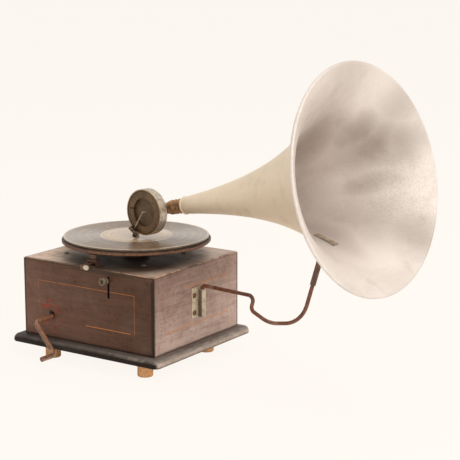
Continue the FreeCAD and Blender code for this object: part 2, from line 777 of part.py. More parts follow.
def build_winding():
    """Crank, its pinion and bearing, the crown wheel under it, the barrel's arbor, ratchet and click."""
    pinion_radius = size("winding_pinion_teeth") * size("winding_module") / 2
    wheel_radius = size("winding_wheel_teeth") * size("winding_module") / 2
    addendum = size("tooth_addendum") * size("winding_module")
    dedendum = size("tooth_dedendum") * size("winding_module")
    pitch_plane = crank_z - pinion_radius
    disc_top = pitch_plane - dedendum
    half = (math.pi * size("winding_module") / 2 - size("winding_backlash")) / 2
    flank = math.tan(math.radians(size("tooth_pressure_angle")))
    face_width = size("winding_tooth_length")
    inner = wheel_radius - face_width / 2
    profile = [Vector(inner, side * (half - height * flank), pitch_plane + height)
               for side, height in ((-1, -dedendum), (-1, addendum), (1, addendum), (1, -dedendum))]
    tooth = Part.Face(Part.makePolygon(profile + profile[:1])).extrude(Vector(face_width, 0, 0))
    disc_floor = disc_top - size("winding_disc_thickness")
    crown = Part.makeCylinder(wheel_radius + face_width / 2, size("winding_disc_thickness"),
                              Vector(0, 0, disc_floor))
    teeth = []
    for number in range(int(size("winding_wheel_teeth"))):
        copy = tooth.copy()
        copy.rotate(Vector(), Z_AXIS, number * 360 / size("winding_wheel_teeth") - 90)
        teeth.append(copy)
    crown = crown.fuse(teeth)
    bore = Part.makeCylinder(size("arbor_diameter") / 2, size("case_height"), Vector(0, 0, case_floor))
    crown = crown.cut(bore)
    piece("winding_wheel", made(crown, at(barrel_x, spindle_y, 0)))

    pinion_length = size("winding_pinion_length")
    pinion_y = spindle_y - wheel_radius - pinion_length / 2
    phase = math.pi / 2 + math.pi / size("winding_pinion_teeth")
    pinion = gear_shape(size("winding_pinion_teeth"), size("winding_module"), pinion_length,
                        size("crank_rod") / 2, phase)
    piece("winding_pinion", made(pinion, at(barrel_x, pinion_y, crank_z, X_AXIS, -90)))

    lean = math.radians(size("crank_lean"))
    elbow_y = -half_depth - size("crank_reach")
    down = Vector(math.sin(lean), 0, -math.cos(lean)) * size("crank_arm")
    shaft_end = Vector(barrel_x, pinion_y + pinion_length, crank_z)
    elbow = Vector(barrel_x, elbow_y, crank_z)
    points = [shaft_end, elbow, elbow + down, elbow + down - Y_AXIS * size("crank_handle")]
    piece("crank", made(bent_rod(points, [size("crank_bend")] * 2, size("crank_rod") / 2)))

    bearing_y = pinion_y - size("bearing_gap") - size("bearing_length")
    block = doc.addObject("Part::Box", "Bearing")
    bind(block, Length="bearing_width", Width="bearing_length")
    block.Height = crank_z + size("crank_rod") / 2 + size("bearing_cap") - motor_floor
    put(block, at(barrel_x - size("bearing_width") / 2, bearing_y, motor_floor))
    bore = cylinder("crank_rod + 2 * running_clearance", "bearing_length",
                    at(barrel_x, bearing_y, crank_z, X_AXIS, -90))
    piece("crank_bearing", cut(block, bore))

    ratchet_floor = bottom_plate - size("ratchet_gap") - size("ratchet_thickness")
    core_gap = size("mainspring_clearance")
    steps = [("arbor_pivot_diameter", motor_floor + shoulder - ratchet_floor),
             ("arbor_diameter", barrel_inside + core_gap - motor_floor - shoulder),
             ("arbor_core_diameter", size("barrel_height") - 2 * core_gap),
             ("arbor_diameter", top_plate - shoulder - barrel_roof + core_gap),
             ("arbor_pivot_diameter", board_under - top_plate + shoulder)]
    piece("barrel_arbor", shaft(steps, at(barrel_x, spindle_y, ratchet_floor)))

    tip = size("ratchet_diameter") / 2
    corners = []
    for number in range(int(size("ratchet_teeth"))):
        angle = number * 2 * math.pi / size("ratchet_teeth")
        corners.append(Vector(tip * math.cos(angle), tip * math.sin(angle), 0))
        corners.append(corners[-1] * ((tip - size("ratchet_depth")) / tip))
    outline_face = Part.Face(Part.makePolygon(corners + corners[:1]))
    ratchet = outline_face.extrude(Vector(0, 0, size("ratchet_thickness")))
    ratchet = ratchet.cut(Part.makeCylinder(size("arbor_pivot_diameter") / 2, size("ratchet_thickness")))
    piece("ratchet_wheel", made(ratchet, at(barrel_x, spindle_y, ratchet_floor)))

    click_x, click_y = click_place()
    eye = cylinder("2 * click_width", "ratchet_thickness", at(click_x, click_y, ratchet_floor))
    bar = box("click_length", "click_width", "ratchet_thickness",
              at(click_x, click_y - size("click_width") / 2, ratchet_floor))
    hole = cylinder("screw_diameter + 2 * running_clearance", "ratchet_thickness",
                    at(click_x, click_y, ratchet_floor))
    piece("click", cut(fuse(eye, bar), hole))


def click_place():
    """The click's pivot: its bar just clears the ratchet's tips at the back of the wheel."""
    rise = size("ratchet_diameter") / 2 + size("click_clearance") + size("click_width") / 2
    return barrel_x - size("click_length"), spindle_y + rise


def build_motor_frame():
    left = barrel_x - size("plate_margin_left")
    right = spindle_x + size("plate_margin_right")
    front = spindle_y - size("plate_margin_front")
    back = spindle_y + size("plate_margin_back")
    for label, level, spindle_hole in (("motor_bottom_plate", bottom_plate, "spindle_foot_diameter"),
                                       ("motor_top_plate", top_plate, "spindle_diameter")):
        plate = bind(doc.addObject("Part::Box", "Plate"), Height="plate_thickness")
        plate.Length = right - left
        plate.Width = back - front
        put(plate, at(left, front, level))
        holes = []
        bearings = [(spindle_hole, spindle_x, spindle_y), ("arbor_pivot_diameter", barrel_x, spindle_y),
                    ("train_pivot_diameter", wheel_x, spindle_y),
                    ("governor_shaft_diameter", governor_x, governor_y)]
        for diameter, x, y in bearings:
            holes.append(cylinder(f"{diameter} + 2 * running_clearance", "plate_thickness", at(x, y, level)))
        screws = pillar_places()
        if level == bottom_plate:
            screws = screws + [click_place()]
        for x, y in screws:
            holes.append(cylinder("screw_diameter", "plate_thickness", at(x, y, level)))
        piece(label, cut(plate, *holes))
    pillars = []
    fixings = []
    for x, y in pillar_places():
        pillar = bind(doc.addObject("Part::Cylinder", "Pillar"), Radius="pillar_diameter / 2")
        pillar.Height = top_plate - motor_floor
        put(pillar, at(x, y, motor_floor))
        lower = cylinder("screw_diameter", "screw_bite", at(x, y, motor_floor))
        upper = cylinder("screw_diameter", "screw_bite", at(x, y, top_plate - size("screw_bite")))
        pillars.append(cut(pillar, lower, upper))
        fixings.append(slotted_screw("top_thickness + plate_thickness + screw_bite", at(x, y, case_top)))
        fixings.append(slotted_screw("plate_thickness + screw_bite", at(x, y, bottom_plate, X_AXIS, 180)))
    x, y = click_place()
    click_floor = bottom_plate - size("ratchet_gap") - size("ratchet_thickness")
    fixings.append(slotted_screw("plate_thickness + ratchet_gap + ratchet_thickness",
                                 at(x, y, click_floor, X_AXIS, 180)))
    piece("motor_pillars", group(*pillars))
    piece("motor_screws", group(*fixings))


# The speed lever's own frame: origin on its pivot, Y along the lever to the back
lever_front = size("lever_pivot_inset")
lever_slope = math.atan2(size("lever_pivot_drop"), lever_front)
slot_top = case_floor + size("slot_bottom") + size("slot_height")
pivot_y = -half_depth + lever_front
pivot_z = slot_top - size("lever_below_slot_top") - size("lever_pivot_drop")
lever_frame = at(slot_x, pivot_y, pivot_z, X_AXIS, -math.degrees(lever_slope))
lever_end = lever_front / math.cos(lever_slope) + size("lever_reach")
pad_station = (governor_y - pivot_y) / math.cos(lever_slope)
pad_under = size("lever_height") / 2 + size("pad_thickness")
pad_bottom = pivot_z - pad_station * math.sin(lever_slope) - pad_under * math.cos(lever_slope)
disc_top = pad_bottom - size("pad_clearance")


def build_speed_lever():
    strip = bind(doc.addObject("Part::Box", "Strip"), Length="lever_thickness", Height="lever_height")
    strip.Width = lever_end + size("lever_tail")
    put(strip, lever_frame * at(-size("lever_thickness") / 2, -lever_end, -size("lever_height") / 2))
    side = slot_x + size("lever_thickness") / 2 + size("lever_side_gap")
    pin_length = "2 * lever_thickness + 2 * lever_side_gap + lever_bracket_thickness"
    pin_start = slot_x - 1.5 * size("lever_thickness") - size("lever_side_gap")
    hole = cylinder("lever_pin_diameter + 2 * running_clearance", pin_length,
                    at(pin_start, pivot_y, pivot_z, Y_AXIS, 90))
    piece("speed_lever", cut(strip, hole))
    pad_place = at(-size("pad_length") / 2, pad_station - size("pad_length") / 2, -pad_under)
    piece("speed_pad", box("pad_length", "pad_length", "pad_thickness", lever_frame * pad_place))
    knob = turned([("0", "0"), ("knob_diameter / 2", "0"), ("knob_diameter / 2", "knob_length"),
                   ("knob_recess_diameter / 2", "knob_length"),
                   ("knob_recess_diameter / 2", "knob_length - knob_recess_depth"),
                   ("0", "knob_length - knob_recess_depth")],
                  lever_frame * at(0, size("knob_grip") - lever_end, 0, X_AXIS, 90))
    seat = box("lever_thickness", "knob_grip", "lever_height",
               lever_frame * at(-size("lever_thickness") / 2, -lever_end, -size("lever_height") / 2))
    piece("speed_knob", cut(knob, seat))
    plate = doc.addObject("Part::Box", "Hanger")
    bind(plate, Length="lever_bracket_thickness", Width="lever_bracket_width")
    drop = size("lever_bracket_width") / 2
    plate.Height = top_plate - pivot_z + drop
    put(plate, at(side, pivot_y - drop, pivot_z - drop))
    pin = cylinder("lever_pin_diameter", pin_length, at(pin_start, pivot_y, pivot_z, Y_AXIS, 90))
    piece("lever_bracket", fuse(plate, pin))


def build_governor():
    axis = at(governor_x, governor_y, 0)
    steps = [("governor_shaft_diameter - 2 * running_clearance", shoulder),
             ("governor_shaft_diameter", board_under - bottom_plate - shoulder)]
    bar = shaft(steps, axis * at(z=bottom_plate))
    pinion_floor = governor_wheel_floor - pinion_overlap
    pinion_height = size("wheel_thickness") + 2 * pinion_overlap
    phase = governor_turn + math.pi + math.pi / size("governor_pinion_teeth")
    pinion = spur("governor_pinion_teeth", "governor_module", pinion_height, "", phase,
                  governor_x, governor_y, pinion_floor)
    collar_floor = pinion_floor + pinion_height
    collar = cylinder("governor_collar_diameter", "governor_collar_height", axis * at(z=collar_floor))
    piece("governor_shaft", fuse(bar, pinion, collar))

    disc_floor = disc_top - size("governor_disc_thickness")
    bore = "governor_shaft_diameter / 2 + running_clearance"
    collar = "governor_collar_diameter / 2"
    edge = "governor_disc_diameter / 2"
    piece("governor_disc", turned([(bore, "-governor_collar_height"), (collar, "-governor_collar_height"),
                                   (collar, "0"), (edge, "0"), (edge, "governor_disc_thickness"),
                                   (bore, "governor_disc_thickness")], axis * at(z=disc_floor)))

    near = size("governor_collar_diameter") / 2
    far = near + size("governor_spring_bow")
    height = size("governor_collar_height")
    thickness = size("governor_spring_thickness")
    middle = (collar_floor + disc_floor) / 2
    half_flat = size("governor_weight_diameter") / 4
    line = [(near, collar_floor), (near, collar_floor + height), (far, middle - half_flat),
            (far, middle + half_flat), (near, disc_floor - height), (near, disc_floor)]
    inner = [Vector(radius, 0, z) for radius, z in line]
    outer = [Vector(radius + thickness, 0, z) for radius, z in reversed(line)]
    half = size("governor_spring_width") / 2
    leaf = Part.Face(Part.makePolygon(inner + outer + inner[:1])).extrude(Vector(0, 2 * half, 0))
    leaf.translate(Vector(0, -half, 0))
    weight_radius = far + thickness + size("governor_weight_gap") + size("governor_weight_diameter") / 2
    leaves = []
    weights = []
    for third in range(3):
        turn = axis * at(angle=120 * third + size("governor_spring_turn"))
        leaves.append(made(leaf, turn))
        weights.append(ball("governor_weight_diameter", turn * at(weight_radius, 0, middle)))
    piece("governor_springs", group(*leaves))
    piece("governor_weights", group(*weights))


brake_x = size("brake_shift_right")
brake_front = -half_depth + size("brake_edge_gap")
brake_pivot_y = -half_depth + size("brake_setback")
brake_pivot_z = case_top + size("brake_pivot_rise")


def brake_screw_places():
    y = brake_front + size("brake_base_depth") - size("screw_head_diameter") / 2
    return [(brake_x + side * size("brake_width") / 3, y) for side in (-1, 1)]


def build_brake():
    left = brake_x - size("brake_width") / 2
    ear_x = brake_x + size("brake_width") / 2 + size("brake_side_gap")
    base = box("brake_width + brake_side_gap + brake_sheet", "brake_base_depth", "brake_sheet",
               at(left, brake_front, case_top))
    ear = box("brake_sheet", "brake_sleeve_diameter", "brake_pivot_rise + brake_sleeve_diameter / 2",
              at(ear_x, brake_pivot_y - size("brake_sleeve_diameter") / 2, case_top))
    pin_length = "brake_width + brake_side_gap + brake_sheet"
    pivot = at(left, brake_pivot_y, brake_pivot_z, Y_AXIS, 90)
    pin = cylinder("brake_pin_diameter", pin_length, pivot)
    holes = [cylinder("screw_diameter", "brake_sheet", at(x, y, case_top)) for x, y in brake_screw_places()]
    piece("brake_bracket", cut(fuse(base, ear, pin), *holes))

    pad_top = table_under - size("brake_pad_clearance")
    pad_floor = pad_top - size("brake_pad_height")
    pad_y = brake_pivot_y + size("brake_pad_setback") - size("brake_pad_length") / 2
    sheet_half = size("brake_sheet") / 2
    sleeve = cylinder("brake_sleeve_diameter", "brake_width", pivot)
    upright = bind(doc.addObject("Part::Box", "Upright"), Length="brake_width", Width="brake_sheet")
    upright.Height = pad_floor - brake_pivot_z
    put(upright, at(left, brake_pivot_y - sheet_half, brake_pivot_z))
    shelf = box("brake_width", "brake_pad_setback + brake_pad_length / 2 + brake_sheet / 2", "brake_sheet",
                at(left, brake_pivot_y - sheet_half, pad_floor - size("brake_sheet")))
    strip_x = brake_x - size("brake_tab_shift")
    strip_z = brake_pivot_z - size("brake_sleeve_diameter") / 2
    tab_y = brake_pivot_y - size("brake_tab_reach")
    strip = box("brake_strip_width", "brake_tab_reach", "brake_sheet",
                at(strip_x - size("brake_strip_width") / 2, tab_y, strip_z))
    tab_z = strip_z - size("brake_tab_drop") + size("brake_tab_height") / 2
    tab = slab(rectangle("brake_tab_width", "brake_tab_height"), "brake_sheet",
               at(strip_x, tab_y + size("brake_sheet"), tab_z, X_AXIS, 90))
    edged(tab, "Fillet", "brake_tab_round", lambda edge: edge.BoundBox.ZLength > sheet_half)
    bore = cylinder("brake_pin_diameter + 2 * running_clearance", "brake_width", pivot)
    piece("brake_lever", cut(fuse(sleeve, upright, shelf, strip, tab), bore))
    pad = box("brake_width", "brake_pad_length", "brake_pad_height", at(left, pad_y, pad_floor))
    piece("brake_pad", pad)


bracket_floor = case_floor + size("bracket_bottom")
bracket_top = bracket_floor + size("bracket_height")
arm_x = half_width + size("knuckle_diameter") / 2
arm_y = size("bracket_setback")
arm_frame = at(arm_x, arm_y, 0, Z_AXIS, size("arm_swing"))


def bracket_screw_places():
    y = arm_y - size("bracket_leaf") + size("bracket_screw_inset")
    return [(y, bracket_floor + size("bracket_screw_end")), (y, bracket_top - size("bracket_screw_end"))]


def build_bracket():
    leaf = box("bracket_sheet", "bracket_leaf", "bracket_height + bracket_leaf_rise",
               at(half_width, arm_y - size("bracket_leaf"), bracket_floor))
    knuckle = cylinder("knuckle_diameter", "bracket_height", at(arm_x, arm_y, bracket_floor))
    bore = cylinder("arm_wire + 2 * arm_clearance", "bracket_height", at(arm_x, arm_y, bracket_floor))
    holes = [cylinder("screw_diameter", "bracket_sheet", at(half_width, y, z, Y_AXIS, 90))
             for y, z in bracket_screw_places()]
    piece("arm_bracket", cut(fuse(leaf, knuckle), bore, *holes))
    face = half_width + size("bracket_sheet")
    fixings = [slotted_screw("bracket_sheet + wall_thickness", at(face, y, z, Y_AXIS, 90))
               for y, z in bracket_screw_places()]
    level = case_top + size("brake_sheet")
    for x, y in brake_screw_places():
        fixings.append(slotted_screw("brake_sheet + top_thickness", at(x, y, level)))
    piece("board_screws", group(*fixings))


# The horn's inside is an exponential curve that swells a little more at the lip. Its own frame has X along the
# axis, out of the mouth
elevation = math.radians(size("horn_elevation"))
throat = Vector(-size("throat_back"), 0, record_top + size("throat_rise"))
horn_frame = arm_frame * Placement(throat, Rotation(Y_AXIS, -size("horn_elevation")))
throat_inside = size("throat_radius")
lip_swell = size("horn_lip_swell")
lip_power = size("horn_lip_power")


def flare_to(radius):
    """The growth for each millimetre along the axis that opens the throat to a rim of this radius."""
    return math.log(radius / (throat_inside * (1 + lip_swell))) / size("horn_length")


lip_growth = lip_swell * lip_power / ((1 + lip_swell) * size("horn_length"))
rough_slope = math.atan((flare_to(size("mouth_radius")) + lip_growth) * size("mouth_radius"))
rim_radius = size("mouth_radius") - size("horn_bead") * (1 + math.cos(rough_slope))
flare = flare_to(rim_radius)


def horn_radius(station):
    share = station / size("horn_length")
    return throat_inside * math.exp(flare * station) * (1 + lip_swell * share ** lip_power)


def horn_normal(station):
    """The tangent and the outward normal of the horn's curve, as (along, out) pairs."""
    share = station / size("horn_length")
    lip_slope = lip_swell * lip_power * share ** (lip_power - 1) / size("horn_length")
    slope = flare * horn_radius(station) + throat_inside * math.exp(flare * station) * lip_slope
    scale = math.hypot(1, slope)
    return (1 / scale, slope / scale), (-slope / scale, 1 / scale)


def horn_point(station, offset):
    """A point a distance out from the horn's inner surface, on its top meridian."""
    _, (along, out) = horn_normal(station)
    return Vector(station + offset * along, 0, horn_radius(station) + offset * out)


def horn_curve(first, last, offset, steps):
    points = [horn_point(first + (last - first) * step / steps, offset) for step in range(steps + 1)]
    curve = Part.BSplineCurve()
    curve.interpolate(points)
    return curve.toShape()


def edge_chain(*points):
    return [Part.LineSegment(start, end).toShape() for start, end in zip(points, points[1:])]


def sector(first, last, low, high, width):
    """A strip that lies on the horn's bottom meridian between two distances from its inner surface."""
    steps = 6
    near = horn_curve(first, last, low, steps)
    far = horn_curve(first, last, high, steps)
    ends = edge_chain(horn_point(first, low), horn_point(first, high))
    ends += edge_chain(horn_point(last, low), horn_point(last, high))
    face = Part.Face(Part.Wire(Part.__sortEdges__([near, far] + ends)))
    spread = math.degrees(width / horn_point((first + last) / 2, low).z)
    face.rotate(Vector(), X_AXIS, 180 - spread / 2)
    return face.revolve(Vector(), X_AXIS, spread)


def under_horn(station):
    """A frame on the horn's outside, at the bottom: X along the wall to the mouth, Z straight out of it."""
    along, out = horn_normal(station)
    surface = horn_point(station, size("horn_wall"))
    turn = Rotation(Vector(along[0], 0, -along[1]), Vector(0, -1, 0), Vector(out[0], 0, -out[1]), "XYZ")
    return Placement(Vector(surface.x, 0, -surface.z), turn)


foot_middle = size("horn_foot_station")
foot_frame = under_horn(foot_middle)
foot_run = horn_normal(foot_middle)[0][0]
hinge_in_horn = foot_frame.multVec(Vector(0, 0, size("horn_foot_pin_distance")))
hinge_in_arm = Placement(throat, Rotation(Y_AXIS, -size("horn_elevation"))).multVec(hinge_in_horn)
foot_seat = size("horn_foot_seat")


def rivet_frames():
    """A frame for each rivet, on the outside of the horn's wall."""
    return [under_horn(foot_middle + side * foot_run * size("rivet_spacing") / 2) for side in (-1, 1)]


def rivet_holes():
    """The rivets' shanks, as tools in the horn's frame."""
    reach = size("horn_wall") + 2 * size("horn_foot_sheet") + 2 * size("rivet_head_height")
    tools = []
    for frame in rivet_frames():
        base = frame.multVec(Vector(0, 0, size("horn_foot_sheet") + size("rivet_head_height")))
        axis = frame.Rotation.multVec(Vector(0, 0, -1))
        tools.append(Part.makeCylinder(size("rivet_diameter") / 2, reach, base, axis))
    return tools


def build_horn():
    wall = size("horn_wall")
    length = size("horn_length")
    bead = size("horn_bead")
    ring = size("throat_bead")
    neck = size("neck_radius")
    bore = neck - size("neck_bore_wall")
    tangent, normal = horn_normal(length)
    rim = horn_point(length, 0)
    tangent = Vector(tangent[0], 0, tangent[1])
    normal = Vector(normal[0], 0, normal[1])
    centre = rim + normal * bead
    back = math.sqrt(bead ** 2 - (bead - wall) ** 2)
    joint = centre - tangent * back - normal * (bead - wall)
    bead_arc = Part.Arc(rim, centre + normal * bead, joint).toShape()
    steps = 28
    stations = [2 * ring + (length - back - 2 * ring) * step / steps for step in range(steps)]
    outer_points = [horn_point(station, wall) for station in stations] + [joint]
    outer = Part.BSplineCurve()
    outer.interpolate(outer_points)
    inner = horn_curve(wall, length, 0, steps)
    lip = horn_point(0, wall).z + ring
    end = -size("spigot_length")
    throat_edge = edge_chain(horn_point(wall, 0), Vector(wall, 0, bore), Vector(end, 0, bore),
                             Vector(end, 0, neck), Vector(0, 0, neck), Vector(0, 0, lip - ring))
    ring_arc = Part.Arc(Vector(0, 0, lip - ring), Vector(ring, 0, lip), outer_points[0]).toShape()
    profile = Part.__sortEdges__([inner, bead_arc, outer.toShape(), ring_arc] + throat_edge)
    shell = Part.Face(Part.Wire(profile)).revolve(Vector(), X_AXIS, 360)
    shell = Part.Solid(shell.Shells[0]) if shell.ShapeType != "Solid" else shell
    for tool in rivet_holes():
        shell = shell.cut(tool)
    piece("horn", made(shell, horn_frame))


def build_horn_foot():
    wall = size("horn_wall")
    sheet = size("horn_foot_sheet")
    half_run = size("horn_foot_length") / 2 * foot_run
    first = foot_middle - half_run
    last = foot_middle + half_run
    strip = sector(first, last, wall + foot_seat, wall + sheet, size("horn_foot_width"))
    gap = size("ferrule_tongue_thickness") / 2 + size("horn_foot_side_gap")
    ear_half = size("horn_foot_ear_length") / 2
    distance = size("horn_foot_pin_distance")
    for side in (-1, 1):
        y = gap if side > 0 else -gap - size("horn_foot_ear")
        ear = Part.makeBox(2 * ear_half, size("horn_foot_ear"), distance - sheet / 2,
                           Vector(-ear_half, y, sheet / 2))
        nose = Part.makeCylinder(ear_half, size("horn_foot_ear"), Vector(0, y, distance), Y_AXIS)
        for shape in (ear, nose):
            shape.Placement = foot_frame
            strip = strip.fuse(shape)
    pin = Part.makeCylinder(size("horn_foot_pin_diameter") / 2, 2 * (gap + size("horn_foot_ear")),
                            Vector(0, -gap - size("horn_foot_ear"), distance), Y_AXIS)
    pin.Placement = foot_frame
    strip = strip.cut([pin] + rivet_holes())
    piece("horn_foot", made(strip.removeSplitter(), horn_frame))
    inner = sector(first, last, -sheet, -foot_seat, size("horn_foot_width"))
    piece("backing_plate", made(inner.cut(rivet_holes()), horn_frame))
    length = doc.addObject("Part::Cylinder", "Pin")
    bind(length, Radius="horn_foot_pin_diameter / 2",
         Height="ferrule_tongue_thickness + 2 * horn_foot_side_gap + 2 * horn_foot_ear")
    turned_pin = foot_frame * at(0, gap + size("horn_foot_ear"), distance, X_AXIS, 90)
    piece("hinge_pin", put(length, horn_frame * turned_pin))
    rivets = []
    outside = sheet + size("rivet_seat")
    inside = -wall - outside
    for frame in rivet_frames():
        shank = cylinder("rivet_diameter", "horn_wall + 2 * horn_foot_sheet + 2 * rivet_seat", at(z=inside))
        outer_head = dome("rivet_head_diameter", "rivet_head_height", at(z=outside))
        inner_head = dome("rivet_head_diameter", "rivet_head_height", at(0, 0, inside, X_AXIS, 180))
        rivets.append(put(fuse(shank, outer_head, inner_head), horn_frame * frame))
    piece("horn_rivets", group(*rivets))


def build_arm():
    level = bracket_top + size("arm_rise")
    dip = level - size("arm_dip_drop")
    turn_up = Vector(size("arm_dip_end"), 0, dip + size("arm_dip_lift"))
    rise = (hinge_in_arm - turn_up).normalize()
    end = hinge_in_arm - rise * size("ferrule_tongue")
    points = [Vector(0, 0, bracket_floor + shoulder), Vector(0, 0, level),
              Vector(size("arm_kink_out"), 0, level),
              Vector(size("arm_kink_back"), 0, level - size("arm_kink_drop")),
              Vector(size("arm_dip_start"), 0, dip), turn_up, end]
    bends = [size("arm_bend"), size("arm_kink_bend"), size("arm_kink_bend"), size("arm_dip_bend"),
             size("arm_dip_bend")]
    piece("horn_arm", made(bent_rod(points, bends, size("arm_wire") / 2), arm_frame))
    radius = size("ferrule_diameter") / 2
    thickness = size("ferrule_tongue_thickness")
    start = end - rise * size("ferrule_length")
    sleeve = Part.makeCylinder(radius, size("ferrule_length"), start, rise)
    sleeve = sleeve.cut(Part.makeCylinder(size("arm_wire") / 2, size("ferrule_length"), start, rise))
    tongue = Part.makeBox(2 * radius, thickness, size("ferrule_tongue"), Vector(-radius, -thickness / 2, 0))
    tongue.Placement = Placement(end, Rotation(Z_AXIS, rise))
    eye = Part.makeCylinder(radius, thickness, hinge_in_arm - Y_AXIS * thickness / 2, Y_AXIS)
    hole = Part.makeCylinder(size("horn_foot_pin_diameter") / 2 + clearance, thickness,
                             hinge_in_arm - Y_AXIS * thickness / 2, Y_AXIS)
    piece("arm_ferrule", made(sleeve.fuse([tongue, eye]).cut(hole), arm_frame))


# The sound box's own frame: origin at the middle of its back, X along the horn's axis, Z out of its face
box_frame = horn_frame * at(-size("box_setback"), -size("box_offset"), 0, X_AXIS, 90)
elbow_radius = "neck_radius - running_clearance"


def box_direction(along, up):
    """A direction in the arm's upright plane, turned into the sound box's frame."""
    return Vector(along * math.cos(elevation) + up * math.sin(elevation),
                  up * math.cos(elevation) - along * math.sin(elevation), 0)


stylus_lean = math.radians(size("stylus_lean"))
stylus_out = box_direction(-math.sin(stylus_lean), -math.cos(stylus_lean))
stylus_across = box_direction(math.cos(stylus_lean), -math.sin(stylus_lean))
stylus_level = size("box_depth") + size("stylus_clearance") + size("stylus_bar_diameter") / 2
holder_radius = size("box_diameter") / 2 + size("holder_gap") + size("holder_diameter") / 2


def stylus_point(out, across, level):
    return stylus_out * out + stylus_across * across + Z_AXIS * level


def build_neck():
    piece("neck_sleeve", tube("2 * neck_radius + 2 * neck_wall", "2 * neck_radius", "neck_length",
                              horn_frame * at(-size("neck_length"), 0, 0, Y_AXIS, 90)))
    radius = size("neck_radius") - clearance
    corner = Vector(-size("box_setback"), 0, 0)
    start = corner - Y_AXIS * (size("box_offset") + size("box_back"))
    end = Vector(-size("spigot_length") - shoulder, 0, 0)
    bends = [size("elbow_bend")]
    outside = bent_rod([start, corner, end], bends, radius)
    inside = bent_rod([start, corner, end], bends, radius - size("elbow_wall"))
    piece("soundbox_elbow", made(outside.cut(inside), horn_frame))


